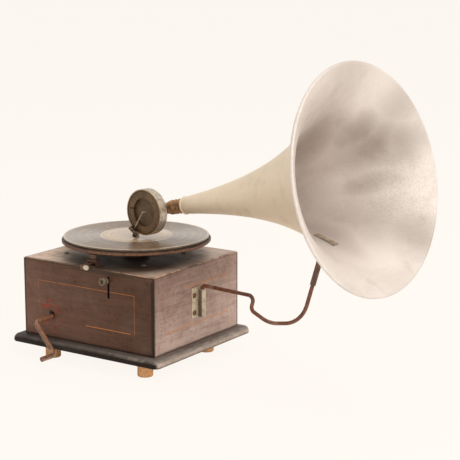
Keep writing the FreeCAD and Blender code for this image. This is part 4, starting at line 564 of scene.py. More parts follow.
def scrolls(w, flat, centre, colour, tone):
    """Worn painted scrolls above and below a hole: two broken rings, each where the distance from the hole's
    middle is near its mean, weak to the left and the right."""
    x, y, _ = w.parts(w.offset(flat, centre))
    radius = w.math("SQRT", w.linear(x, x, w.times(y, y)))
    angle = w.math("ARCTAN2", y, x)
    waves = w.math("COSINE", w.times(angle, 5.0))
    rings = []
    for mean, half, strength in ((13.0 * MM, 3.4 * MM, 1.0), (19.0 * MM, 1.4 * MM, 0.7)):
        rings.append(w.band(radius, w.linear(waves, 0.1 * mean, mean), 0.3 * half, half, strength))
    upright = w.step(w.math("ABSOLUTE", w.math("SINE", angle)), 0.1, 0.55)
    paint = w.times(w.math("MAXIMUM", *rings), upright)
    kept = w.step(w.noise(flat, 150.0, 4.0, 0.7), 0.46, 0.6)
    return w.stain(colour, w.times(paint, kept), 0.85, tone)


def dots(w, flat, spots, colour, tone):
    """Small round spots, each a distance from its own centre."""
    for across, up, radius in spots:
        colour = w.mix(w.spot(flat, (across, up, 0.0), 0.6 * radius, radius), colour, tone)
    return colour


def metal(name, tone, centre, axis, rough, metallic=1.0, fineness=900.0, tarnish=0.5, scale=70.0, face=None,
          decorate=None):
    """Turned or drawn metal: fine rings round an axis, with blotches of tarnish and small pits. A face square
    to the axis may have a tone of its own."""
    w = Finish(name)
    rings = w.effect("Turned marks", Centre=centre, Axis=axis, Fineness=fineness)
    old = w.effect("Tarnish", Scale=scale)
    colour = w.mix(rings["Fine"], darker(tone, 0.93), lighter(tone, 0.9))
    colour = w.stain(colour, old["Blotch"], tarnish, darker(tone, 0.5))
    colour = w.stain(colour, old["Speckle"], tarnish, darker(tone, 0.35))
    if face:
        colour = w.mix(w.step(w.dot(w.normal, axis), 0.6, 0.85), colour, face)
    if decorate:
        colour = decorate(w, colour, rings["Radius"])
    shine = w.math("SUBTRACT", metallic, w.times(old["Speckle"], 0.5 * tarnish))
    height = w.linear(rings["Fine"], 0.35, w.times(old["Pits"], tarnish))
    return w.set(Base_Color=colour, Roughness=w.linear(old["Blotch"], 0.22 * tarnish, rough), Metallic=shine,
                 Normal=w.bump(height, 0.06 * MM, 0.4))


def brown_steel(name, tone, scale=120.0, rough=0.4, metallic=0.35):
    """Oxidised steel: brown blotches, dark pits and a few bright rubbed places."""
    w = Finish(name)
    old = w.effect("Tarnish", Scale=scale)
    rubbed = w.step(w.noise(w.place, 0.4 * scale), 0.58, 0.72)
    colour = w.mix(old["Blotch"], tone, darker(tone, 0.66))
    colour = w.stain(colour, old["Speckle"], 0.6, darker(tone, 0.45))
    colour = w.stain(colour, rubbed, 0.6, lighter(tone, 0.66))
    return w.set(Base_Color=colour, Roughness=w.linear(old["Blotch"], 0.2, rough),
                 Metallic=w.times(rubbed, metallic), Normal=w.bump(old["Pits"], 0.1 * MM, 0.5))


def leather(name, tone):
    """Old leather: cells of the grain, darker creases and rubbed high places."""
    w = Finish(name)
    cells = w.add("ShaderNodeTexVoronoi", {"Vector": w.place, "Scale": 900.0}).outputs["Distance"]
    old = w.effect("Tarnish", Scale=150.0)
    colour = w.mix(old["Blotch"], darker(tone, 0.6), lighter(tone, 0.85))
    colour = w.stain(colour, old["Speckle"], 0.5, darker(tone, 0.4))
    height = w.linear(old["Pits"], 0.5, cells)
    return w.set(Base_Color=colour, Roughness=w.linear(old["Blotch"], 0.15, 0.55),
                 Normal=w.bump(height, 0.2 * MM, 0.6))


class GRAMOPHONE_OT_case(bpy.types.Operator):
    """Varnish the boards of the case and paint their lines"""
    bl_idname = "gramophone.case"
    bl_label = "Case boards"

    def front_paint(self, wood, w, colour):
        """A worn gold frame, red scrolls round the crank, painted shade in the speed lever's slot and two red
        spots.
        """
        left, right = CASE_LOW[0] + 22.5 * MM, CASE_HIGH[0] - 28.7 * MM
        low, high = CASE_LOW[2] + 23 * MM, CASE_LOW[2] + 69 * MM
        middle = (left + right) / 2
        gold = [((left, high), (right, high), 0.6 * MM, 0.7, 0.4),
                ((left, low + 12 * MM), (left, high), 0.5 * MM, 0.5, 0.45),
                ((right, low), (right, high), 0.6 * MM, 0.65, 0.43),
                ((middle, low), (right - 6 * MM, low), 0.9 * MM, 0.85, 0.34)]
        hole = (CRANK[0], CRANK[2] + 2.2 * MM, 0.0)
        slot_x = pivot("speed_swing")[0]
        # Painted shade in the speed lever's slot, a little wider than the slot
        slot = ((slot_x, CASE_LOW[2] + 62.4 * MM), (slot_x, CASE_LOW[2] + 85.5 * MM), 3.2 * MM, 0.96, 0.0)
        spots = [(middle + 33 * MM, low + 20 * MM, 1.0 * MM), (middle + 48 * MM, low + 19 * MM, 0.7 * MM)]
        flat = w.on_front()
        colour = painted_lines(w, flat, gold, colour, wood.gold)
        colour = scrolls(w, flat, hole, colour, wood.red)
        colour = painted_lines(w, flat, [slot], colour, darker(wood.front, 0.25))
        return dots(w, flat, spots, colour, wood.red)

    def side_paint(self, wood, w, colour):
        """A gold frame, painted shade down the front corner, and a row of small holes near it painted as dark
        spots of shade.
        """
        near, far = CASE_LOW[1] + 21 * MM, CASE_HIGH[1] - 21 * MM
        low, high = CASE_LOW[2] + 24 * MM, CASE_LOW[2] + 70.5 * MM
        gold = [((near, low), (far, low), 0.9 * MM, 0.95, 0.34),
                ((near + 38 * MM, high), (far, high), 0.9 * MM, 0.95, 0.3),
                ((near, low), (near, high), 0.8 * MM, 0.8, 0.4),
                ((far, low), (far, high), 0.8 * MM, 0.8, 0.4)]
        # Painted shade down the front corner
        corner_x = CASE_HIGH[0] - 2.3 * MM
        corner = ((corner_x, CASE_LOW[2]), (corner_x, CASE_HIGH[2]), 4.0 * MM, 0.8, 0.0)
        # Small holes, painted as dark spots of shade
        heights = (20.0, 24.5, 29.1, 33.7, 37.6)
        holes = [(CASE_LOW[1] + 13 * MM, CASE_LOW[2] + height * MM, 0.8 * MM) for height in heights]
        flat = w.on_side()
        colour = painted_lines(w, flat, gold, colour, wood.gold)
        colour = painted_lines(w, w.on_front(), [corner], colour, darker(wood.front, 0.45))
        return dots(w, flat, holes, colour, darker(wood.front, 0.4))

    def top_paint(self, wood, w, colour):
        """Painted shadow of the turntable on the top board, and a dark frame."""
        # Painted shadow of the turntable
        shadow = (SPINDLE[0] + 15 * MM, SPINDLE[1] - 38 * MM, 0.0)
        level = w.vector("MULTIPLY", w.place, (1.0, 1.0, 0.0))
        colour = w.mix(w.spot(level, shadow, 48 * MM, 84 * MM, 0.88), colour, wood.turntable_shadow)
        (left, near), (right, far) = CASE_LOW[:2] + 25 * MM, CASE_HIGH[:2] - 25 * MM
        ends = [((left, near), (right, near)), ((left, far), (right, far)), ((left, near), (left, far)),
                ((right, near), (right, far))]
        lines = [(start, end, 1.0 * MM, 0.7, 0.2) for start, end in ends]
        return painted_lines(w, w.place, lines, colour, darker(wood.front, 0.5))

    def execute(self, context):
        wood = context.scene.gramophone_wood
        tones = (wood.front, wood.front_lit, wood.side, wood.side_lit, wood.top, wood.top_lit)
        # Each varnish: name, how the grain is drawn out, what is painted on it, and its boards
        boards = (("Front varnish", (11.0, 160.0, 190.0), partial(self.front_paint, wood), "case_front"),
                  ("Back varnish", (11.0, 160.0, 190.0), None, "case_back"),
                  ("Side varnish", (160.0, 11.0, 190.0), partial(self.side_paint, wood), "case_left",
                   "case_right"),
                  ("Top varnish", (11.0, 170.0, 160.0), partial(self.top_paint, wood), "top_board"))
        for name, stretch, paint, *nodes in boards:
            wear(varnished_wood(name, tones, wood.bare, stretch, CASE_LOW, CASE_HIGH, paint), *nodes)
        return {"FINISHED"}


class GRAMOPHONE_OT_plinth(bpy.types.Operator):
    """Stain the plinth and give the feet their cork"""
    bl_idname = "gramophone.plinth"
    bl_label = "Plinth and feet"

    def execute(self, context):
        wood = context.scene.gramophone_wood
        # Painted light and shade on the plinth: the front darkest, the sides lightest, the top between
        lit = wood.plinth_lit
        tones = (wood.plinth, lighter(wood.plinth, 0.95), darker(lit, 0.92), lit, darker(lit, 0.62),
                 darker(lit, 0.3))
        stretch = (13.0, 60.0, 210.0)
        wear(varnished_wood("Plinth stain", tones, darker(lit, 0.75), stretch, *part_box("plinth")), "plinth")
        w = Finish("Cork")
        grains = w.add("ShaderNodeTexVoronoi", {"Vector": w.place, "Scale": 520.0}).outputs
        old = w.effect("Tarnish", Scale=180.0)
        tone = w.add("ShaderNodeSeparateColor", {0: grains["Color"]}).outputs[0]
        colour = w.mix(tone, darker(wood.cork, 0.86), lighter(wood.cork, 0.85))
        colour = w.stain(colour, old["Speckle"], 0.45, darker(wood.cork, 0.5))
        wear(w.set(Base_Color=colour, Roughness=w.linear(tone, 0.15, 0.75),
                   Normal=w.bump(grains["Distance"], 0.4 * MM, 0.6)), "cork_feet")
        return {"FINISHED"}


class GRAMOPHONE_OT_disc(bpy.types.Operator):
    """Cut the disc with its spiral groove, dust it and paint a highlight round its rim"""
    bl_idname = "gramophone.disc"
    bl_label = "Disc record"

    def surface(self, soft):
        """A flat profile carried round the spindle. In the groove's band the top sinks by
        depth / 2 * (1 - cos(2 pi * turn)), where turn = (radius - start) / pitch - angle / 2 pi: a spiral."""
        low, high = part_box("record")
        under, top = low[2], high[2]
        rim = (high[0] - low[0]) / 2
        hole = 3.68 * MM
        start, stop = 46 * MM, 84 * MM
        angles = circle(168)
        points_per_turn = 5
        band = np.linspace(stop, start, int((stop - start) / soft.groove_pitch * points_per_turn))
        edge = rim - np.array([0.5, 0.1, 0.0, 0.1, 0.5, 1.6, 2.4]) * MM  # up round the rim
        land = np.array([44, 43.2, 42.8, 42.2, 41.8, 41, 30, 18, 9, 5]) * MM  # inwards over the label
        radius = np.concatenate([[hole, 20 * MM], edge, band, land, [hole + 0.2 * MM, hole]])
        height = np.full(len(radius), top)
        height[:3] = under
        height[3:6] = [under + 0.5 * MM, under + 1.0 * MM, top - 0.5 * MM]
        band_first = 2 + len(edge)
        land_first = band_first + len(band)
        height[land_first + 2:land_first + 5] = top - 0.25 * MM  # a ring pressed in round the label
        height[-1] = top - 0.2 * MM  # the hole's broken edge
        grooved = np.zeros((len(radius), 1), dtype=bool)
        grooved[band_first + 2:land_first - 2] = True
        turn = (radius[:, None] - start) / soft.groove_pitch - angles / (2 * np.pi)
        dip = soft.groove_depth / 2 * (1 - np.cos(2 * np.pi * turn))
        level = height[:, None] - SPINDLE[2] - np.where(grooved, dip, 0.0)
        return turned_surface(SPINDLE, UP, level, radius[:, None], angles)

    def execute(self, context):
        soft = context.scene.gramophone_soft
        w = Finish("Shellac", Specular_IOR_Level=0.2, Coat_Weight=0.9, Coat_Roughness=0.16)
        rings = w.effect("Turned marks", Centre=SPINDLE, Axis=UP, Fineness=1500.0)
        old = w.effect("Tarnish", Scale=55.0)
        radius = rings["Radius"]
        colour = w.mix(rings["Fine"], darker(soft.shellac, 0.88), lighter(soft.shellac, 0.94))
        dust_and_highlight = w.linear(old["Blotch"], 0.14, w.step(rings["Broad"], 0.4, 0.66, 0.0, 0.12))
        dust_and_highlight = w.math("MAXIMUM", dust_and_highlight, w.step(radius, 41 * MM, 43.5 * MM, 0.66, 0.0))
        # Rings of dust, and at 86.4 mm a ring of painted highlight along the rim: radius and strength
        for middle, strength in ((42.6 * MM, 1.0), (35.0 * MM, 0.95), (86.4 * MM, 0.9)):
            dust_and_highlight = w.math("MAXIMUM", dust_and_highlight, w.band(radius, middle, 0.4 * MM, 1.0 * MM, strength))
        colour = w.mix(dust_and_highlight, colour, soft.dust)
        colour = w.stain(colour, old["Speckle"], 0.2, darker(soft.shellac, 0.6))
        shellac = w.set(Base_Color=colour, Roughness=w.linear(dust_and_highlight, 0.3, 0.36),
                        Normal=w.bump(rings["Fine"], 0.03 * MM, 0.3))
        make_piece("disc_record", self.surface(soft), shellac, "platter", "shellac", "record")
        return {"FINISHED"}


class GRAMOPHONE_OT_turntable(bpy.types.Operator):
    """Finish the turntable and its spindle, and lay the felt mat"""
    bl_idname = "gramophone.turntable"
    bl_label = "Turntable and felt"

    def felt_surface(self):
        """A flat round mat carried round the spindle: a rounded profile whose rim goes in and out a little,
        radius = mean + small sines of the angle."""
        low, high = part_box("felt_mat")
        hole = 4.2 * MM
        rim = (high[0] - low[0]) / 2 - 0.35 * MM
        under, top = low[2] + 0.02 * MM, high[2] - 0.02 * MM
        angles = circle(180)
        # The profile: share of the way from the hole to the rim, and from the underside to the top
        out = np.array([0.0, 0.3, 0.6, 0.85, 1.0, 1.0, 0.85, 0.6, 0.3, 0.0])[:, None]
        rise = np.array([0.0, 0.0, 0.0, 0.0, 0.25, 0.75, 1.0, 1.0, 1.0, 1.0])[:, None]
        wave = 0.12 * np.sin(7 * angles + 0.4) + 0.08 * np.sin(19 * angles) + 0.05 * np.sin(43 * angles)
        radius = hole + (rim - hole) * out + wave * MM * out ** 4
        return turned_surface(SPINDLE, UP, under + (top - under) * rise - SPINDLE[2], radius, angles)

    def execute(self, context):
        metals = context.scene.gramophone_metals
        soft = context.scene.gramophone_soft
        w = Finish("Turntable stain", Specular_IOR_Level=0.3)
        old = w.effect("Tarnish", Scale=80.0)
        slope = w.math("ABSOLUTE", w.parts(w.normal)[2])
        worn = w.times(w.step(slope, 0.15, 0.4, 0.8, 0.0), w.step(old["Pits"], 0.1, 0.9, 1.0, 0.4))
        colour = w.mix(old["Blotch"], metals.table, darker(metals.table, 0.6))
        colour = w.mix(worn, colour, darker(metals.rust, 0.92))
        wear(w.set(Base_Color=colour, Roughness=w.linear(old["Speckle"], 0.2, 0.5),
                   Normal=w.bump(old["Pits"], 0.1 * MM, 0.5)), "turntable")
        wear(brown_steel("Hub steel", darker(metals.rust, 0.6)), "turntable_hub")
        wear(metal("Spindle steel", metals.nickel, SPINDLE, UP, 0.3), "spindle")
        w = Finish("Felt", Sheen_Weight=0.4)
        nap = w.noise(w.place, 1400.0, 4.0, 0.7)
        old = w.effect("Tarnish", Scale=90.0)
        colour = w.mix(nap, darker(soft.felt, 0.7), lighter(soft.felt, 0.85))
        colour = w.stain(colour, old["Blotch"], 0.3, darker(soft.dust, 0.6))
        felt = w.set(Base_Color=colour, Roughness=w.linear(nap, 0.1, 0.88), Normal=w.bump(nap, 0.3 * MM, 0.7))
        mat = make_piece("felt_disc", self.felt_surface(), felt, "platter", "felt", "felt_mat")
        return {"FINISHED"}


class GRAMOPHONE_OT_motor(bpy.types.Operator):
    """Finish the spring motor inside the case"""
    bl_idname = "gramophone.motor"
    bl_label = "Spring motor"

    def execute(self, context):
        metals = context.scene.gramophone_metals
        brass, steel = metals.brass, metals.steel
        wear(metal("Plate brass", brass, SPINDLE, TO_BACK, 0.36, fineness=1800.0),
             "motor_top_plate", "motor_bottom_plate", "lever_bracket")
        # Each metal: name, tone, centre and axis of its rings, roughness, and its pieces
        turned = (("Spindle brass", brass, SPINDLE, UP, 0.3, "governor_wheel"),
                  ("Train brass", brass, TRAIN, UP, 0.3, "train_wheel"),
                  ("Barrel brass", brass, BARREL, UP, 0.3, "spring_barrel", "barrel_lid", "winding_wheel"),
                  ("Governor brass", brass, GOVERNOR, UP, 0.28, "governor_disc", "governor_weights"),
                  ("Bearing brass", brass, CRANK, TO_BACK, 0.36, "crank_bearing", "motor_pillars"),
                  ("Train steel", steel, TRAIN, UP, 0.25, "train_arbor"),
                  ("Barrel steel", steel, BARREL, UP, 0.28, "barrel_arbor", "ratchet_wheel", "click"),
                  ("Governor steel", steel, GOVERNOR, UP, 0.25, "governor_shaft", "governor_springs"),
                  ("Winding steel", steel, CRANK, TO_BACK, 0.28, "winding_pinion"))
        for name, tone, centre, axis, rough, *nodes in turned:
            wear(metal(name, tone, centre, axis, rough), *nodes)
        wear(metal("Spring steel", darker(steel, 0.55), BARREL, UP, 0.3, tarnish=0.7), "mainspring")
        wear(brown_steel("Bush metal", darker(metals.rust, 0.5)), "spindle_bush")
        wear(brown_steel("Screw steel", darker(metals.nickel, 0.8), 300.0), "motor_screws")
        return {"FINISHED"}


class GRAMOPHONE_OT_crank(bpy.types.Operator):
    """Brown the crank"""
    bl_idname = "gramophone.crank"
    bl_label = "Crank"

    def execute(self, context):
        metals = context.scene.gramophone_metals
        wear(brown_steel("Crank steel", darker(metals.rust, 0.95), 140.0, 0.24, 0.9), "crank")
        return {"FINISHED"}


class GRAMOPHONE_OT_speed_lever(bpy.types.Operator):
    """Finish the speed lever and its button, and put on its leather pad"""
    bl_idname = "gramophone.speed_lever"
    bl_label = "Speed lever"

    def execute(self, context):
        metals = context.scene.gramophone_metals
        soft = context.scene.gramophone_soft
        wear(brown_steel("Lever steel", darker(metals.rust, 0.25)), "speed_lever")
        wear(metal("Button nickel", lighter(metals.bronze, 0.75), middle_of("speed_knob"), TO_BACK, 0.38, 0.4,
                   tarnish=0.8, scale=300.0), "speed_knob")
        lever_drop, lever_reach = 10 * MM, 80 * MM
        half = (3 * MM, 3 * MM, 1 * MM)
        block = rounded_block(middle_of("speed_pad"), half, -math.atan2(lever_drop, lever_reach))
        pad = make_piece("speed_pad_leather", block, leather("Pad leather", soft.leather), "regulator",
                         "leather", "speed_pad")
        return {"FINISHED"}


class GRAMOPHONE_OT_brake(bpy.types.Operator):
    """Finish the brake and its tab, and put on its leather pad"""
    bl_idname = "gramophone.brake"
    bl_label = "Brake"

    def execute(self, context):
        metals = context.scene.gramophone_metals
        soft = context.scene.gramophone_soft
        wear(brown_steel("Brake bracket steel", darker(metals.rust, 0.7)), "brake_bracket")
        w = Finish("Brake lever steel")
        old = w.effect("Tarnish", Scale=140.0)
        brown = w.mix(old["Blotch"], darker(metals.rust, 0.75), darker(metals.rust, 0.45))
        bright = w.mix(old["Speckle"], lighter(metals.nickel, 0.8), metals.nickel)
        low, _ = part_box("brake_lever")
        tab_middle = (pivot("brake_swing")[0] + 3.2 * MM, low[1], low[2] + 3.0 * MM)
        oval = w.vector("MULTIPLY", w.offset(w.place, tab_middle), (0.85, 1.0, 1.5))
        tab = w.spot(oval, ZERO, 3.8 * MM, 5.2 * MM)
        wear(w.set(Base_Color=w.mix(tab, brown, bright), Roughness=w.linear(old["Blotch"], 0.2, 0.4),
                   Metallic=w.times(tab, 0.5), Normal=w.bump(old["Pits"], 0.1 * MM, 0.5)), "brake_lever")
        low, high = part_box("brake_pad")
        block = rounded_block(middle_of("brake_pad"), (high - low) / 2, 0.0)
        pad = make_piece("brake_pad_leather", block, leather("Brake leather", darker(soft.leather, 0.8)),
                         "brake", "leather", "brake_pad")
        return {"FINISHED"}


class GRAMOPHONE_OT_arm(bpy.types.Operator):
    """Finish the bracket on the case, its screws and the wire arm"""
    bl_idname = "gramophone.arm"
    bl_label = "Bracket and wire arm"

    def seam(self, metals, w, colour, radius):
        """Painted shade in the corner between the bracket's leaf and its knuckle."""
        x, y, _ = pivot("arm_swing")
        corner = y - (x - CASE_HIGH[0])
        low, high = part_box("arm_bracket")
        line = ((corner, low[2]), (corner, high[2]), 1.0 * MM, 0.8, 0.0)
        return painted_lines(w, w.on_side(), [line], colour, darker(metals.rust, 0.4))

    def execute(self, context):
        metals = context.scene.gramophone_metals
        wear(metal("Bracket nickel", lighter(metals.brass, 0.45), middle_of("arm_bracket"), UP, 0.45, 0.3,
                   tarnish=0.45, scale=130.0, decorate=partial(self.seam, metals)), "arm_bracket")
        wear(brown_steel("Board screws", darker(metals.rust, 0.85), 300.0), "board_screws")
        wear(brown_steel("Arm wire", metals.wire, 110.0, 0.36), "horn_arm")
        wear(brown_steel("Ferrule", darker(metals.rust, 0.8), 140.0, 0.32), "arm_ferrule")
        return {"FINISHED"}


class GRAMOPHONE_OT_horn(bpy.types.Operator):
    """Give the horn its spun aluminium, and finish its foot, plate, rivets and pin"""
    bl_idname = "gramophone.horn"
    bl_label = "Horn"

    # Clouds of painted shade and painted reflection in the bell: distance to the back, distance up and reach,
    # in mm, and strength
    shade_clouds = ((70, 34, 56.0, 0.92), (54, 50, 38.08, 0.9), (96, 34, 49.28, 0.72), (10, 50, 56.0, 0.82),
                   (62, -52, 58.24, 0.66), (80, -71, 51.52, 0.72), (14, -50, 44.8, 0.65),
                   (68, -9, 33.6, 0.75), (14, 108, 71.68, 0.35), (86, 72, 51.52, 0.55))

    def painted_bell_shade(self, w, offset, radius):
        """Painted shade in the bell: it grows towards the throat, with a few soft clouds of painted shade and
        reflection, each a distance from its own middle in the plane of the mouth, pushed about by noise."""
        noise = w.add("ShaderNodeTexNoise", {"Vector": offset, "Scale": 14.0}).outputs["Color"]
        push, softness = 34 * MM, 0.12
        drift = w.scaled(w.offset(noise, HALVES), push)
        flat = w.seen_along(HORN_AXIS, w.vector("ADD", offset, drift))
        bell_shade = w.step(radius, 26 * MM, 100 * MM, 0.32, 0.0)
        for back, up, reach, strength in self.shade_clouds:
            cloud = w.spot(flat, (back * MM, up * MM, 0.0), 0.0, reach * MM, strength)
            bell_shade = w.math("SMOOTH_MAX", bell_shade, cloud, softness)
        return bell_shade

    def specks(self, w, offset, colour):
        """Fine dark specks, thick round one place near the right of the bell and thin elsewhere."""
        axis, back, up = side_directions(HORN_AXIS)
        middle = tuple((92 * back - 22 * up + 248 * axis) * MM)
        fine = w.step(w.noise(w.place, 620.0, 2.0, 0.6), 0.46, 0.66)
        return w.dim(colour, fine, w.spot(offset, middle, 10 * MM, 70 * MM, 0.26, 0.08), SPECK_TINT)

    def execute(self, context):
        metals = context.scene.gramophone_metals
        w = Finish("Spun aluminium", Metallic=0.5)
        spun = w.effect("Turned marks", Centre=THROAT, Axis=HORN_AXIS, Fineness=700.0)
        old = w.effect("Tarnish", Scale=7.0)
        offset = w.offset(w.place, THROAT)
        out = w.vector("NORMALIZE", w.offset(offset, w.scaled(HORN_AXIS, spun["Along"])))
        within_rim = w.step(spun["Radius"], 119 * MM, 122 * MM, 1.0, 0.0)
        outside = w.times(w.step(w.dot(out, w.normal), -0.15, 0.15), within_rim)
        bell_shade = self.painted_bell_shade(w, offset, spun["Radius"])
        # Painted shade and painted reflection darken the inside of the bell
        inside = self.specks(w, offset, w.mix(bell_shade, metals.horn_inside, metals.horn_shaded))
        colour = w.mix(outside, inside, metals.horn_outside)
        colour = w.dim(colour, w.step(spun["Fine"], 0.3, 0.75), 0.13, SPUN_TINT)
        colour = w.dim(colour, old["Blotch"], 0.35, DULL_TINT)
        colour = w.dim(colour, old["Speckle"], 0.08, PIT_TINT)
        rough = w.linear(old["Blotch"], 0.08, w.step(outside, 0.0, 1.0, 0.4, 0.52))
        horn = w.set(Base_Color=colour, Roughness=rough, Normal=w.bump(spun["Fine"], 0.03 * MM, 0.25))
        wear(horn, "horn", "horn_foot")
        wear(brown_steel("Plate metal", darker(metals.nickel, 0.85), 160.0, 0.35), "backing_plate")
        wear(metal("Rivet metal", metals.nickel, THROAT, HORN_AXIS, 0.35), "horn_rivets")
        wear(brown_steel("Hinge pin", metals.rust), "hinge_pin")
        return {"FINISHED"}


class GRAMOPHONE_OT_sleeve(bpy.types.Operator):
    """Make the creased leather sleeve between the horn and the sound box"""
    bl_idname = "gramophone.sleeve"
    bl_label = "Neck sleeve"

    def surface(self, soft):
        """A tube carried along the horn's axis. Its outside is radius + crease * sin(waves of the length,
        shifted by sines of the angle), drawn in at both ends; its inside is a plain bore."""
        bore, outer = 7.24 * MM, 8.75 * MM
        first, last = 0.1 * MM - 2 * SLEEVE_HALF, -0.1 * MM
        angles = circle(96)
        share = np.linspace(0.0, 1.0, 56)[:, None]
        inner = np.linspace(1.0, 0.0, 10)[:, None]  # back along the bore
        broad = 1.1 * np.sin(2 * angles + 0.7) + 0.6 * np.sin(3 * angles)
        fine = 2.0 * np.sin(angles + 1.9)
        crease = np.sin(2 * np.pi * 3.5 * share + broad) + 0.5 * np.sin(2 * np.pi * 8 * share + fine)
        ends = np.minimum(1.0, np.minimum(share, 1 - share) / 0.07)
        outside = outer - 0.45 * MM * (1 - ends ** 0.5) + soft.fold_depth * (crease * ends - 1)
        radius = np.concatenate([outside, np.full((len(inner), len(angles)), bore)])
        along = first + (last - first) * np.concatenate([share, inner])
        return turned_surface(THROAT, HORN_AXIS, along, radius, angles)

    def execute(self, context):
        soft = context.scene.gramophone_soft
        make_piece("neck_sleeve_leather", self.surface(soft), leather("Sleeve leather", soft.leather), "horn",
                   "leather", "neck_sleeve")
        return {"FINISHED"}


class GRAMOPHONE_OT_sound_box(bpy.types.Operator):
    """Finish the sound box, its stylus and needle, and put in its rubber rings"""
    bl_idname = "gramophone.sound_box"
    bl_label = "Sound box"

    def ring_surface(self, near, far, inner, outer):
        """A rubber ring: a rounded section, |cos| and |sin| ** 0.6 with their signs, carried round the axis
        of the sound box."""
        turn = circle(16)[:, None]
        out, rise = (np.sign(wave) * np.abs(wave) ** 0.6 for wave in (np.cos(turn), np.sin(turn)))
        radius = (inner + outer) / 2 + (outer - inner) / 2 * out
        along = (near + far) / 2 + (far - near) / 2 * rise
        return turned_surface(BOX_MIDDLE, BOX_FACE, along, radius, circle(96))

    def gaskets(self, rubber):
        """The two rings, one on each side of the diaphragm, as one piece."""
        along, radius = about_axis("gaskets", BOX_MIDDLE, BOX_FACE)
        middle = (along.min() + along.max()) / 2
        (near, faces, caps), (far, more, _) = (
            self.ring_surface(along[chosen].min(), along[chosen].max(), radius.min(), radius.max())
            for chosen in (along < middle, along >= middle))
        count = near.shape[0] * near.shape[1]
        surface = (np.concatenate([near, far]), np.concatenate([faces, more + count]), caps)
        make_piece("rubber_rings", surface, rubber, "soundbox", "rubber", "gaskets")

    def face_lines(self, metals, w, colour, radius):
        """Thin circles round the face, the dark ones painted shade in its grooves and steps and a bright nickel
        one, and a dark slit on its left painted as shade.
        """
        dark = darker(metals.bronze, 0.3)
        # Each circle: radius and half width, in mm, strength and tone; the dark ones are painted shade
        circles = ((25.3, 0.6, 0.9, dark), (27.1, 0.45, 0.6, metals.nickel), (22.6, 0.4, 0.5, dark))
        for middle, half, strength, tone in circles:
            line = w.band(radius, middle * MM, 0.4 * half * MM, half * MM, strength)
            colour = w.mix(line, colour, tone)
        # Painted shade for the slit
        slit = ((-23 * MM, 3 * MM), (-14 * MM, 3 * MM), 1.5 * MM, 0.95, 0.0)
        flat = w.seen_along(BOX_FACE, w.offset(w.place, BOX_MIDDLE))
        return painted_lines(w, flat, [slit], colour, dark)

    def lever_stain(self, metals, w, colour, radius):
        """Brown stain on the lever's outer end, beyond the edge of the face."""
        return w.mix(w.step(radius, 20 * MM, 25 * MM, 0.0, 0.9), colour, darker(metals.bronze, 0.6))

    def execute(self, context):
        metals = context.scene.gramophone_metals
        soft = context.scene.gramophone_soft
        bronze = metals.bronze
        box_metal = partial(metal, centre=BOX_MIDDLE, axis=BOX_FACE)
        lines = partial(self.face_lines, metals)
        wear(box_metal("Sound box nickel", lighter(metals.nickel, 0.75), rough=0.36, metallic=0.7,
                       tarnish=0.6, scale=260.0, face=bronze, decorate=lines),
             "soundbox_shell", "soundbox_elbow")
        wear(box_metal("Face bronze", bronze, rough=0.38, metallic=0.6, fineness=1600.0, decorate=lines),
             "soundbox_ring")
        wear(box_metal("Stylus steel", metals.nickel, rough=0.36, metallic=0.4, scale=200.0,
                       decorate=partial(self.lever_stain, metals)), "stylus_lever")
        wear(box_metal("Face screws", bronze, rough=0.36, metallic=0.6, tarnish=0.4), "face_screws")
        wear(brown_steel("Needle steel", darker(metals.rust, 0.5)), "needle", "needle_screw")
        w = Finish("Mica disc", Specular_IOR_Level=0.2)
        rings = w.effect("Turned marks", Centre=BOX_MIDDLE, Axis=BOX_FACE, Fineness=1300.0)
        old = w.effect("Tarnish", Scale=120.0)
        colour = w.mix(rings["Fine"], darker(bronze, 0.8), lighter(bronze, 0.8))
        colour = w.stain(colour, old["Blotch"], 0.5, darker(bronze, 0.6))
        wear(w.set(Base_Color=colour, Roughness=w.linear(old["Blotch"], 0.2, 0.3)), "diaphragm")
        w = Finish("Rubber")
        bloom = w.noise(w.place, 300.0, 4.0)
        colour = w.mix(bloom, soft.rubber, darker(soft.rubber, 0.6))
        self.gaskets(w.set(Base_Color=colour, Roughness=w.linear(bloom, 0.2, 0.6)))
        return {"FINISHED"}


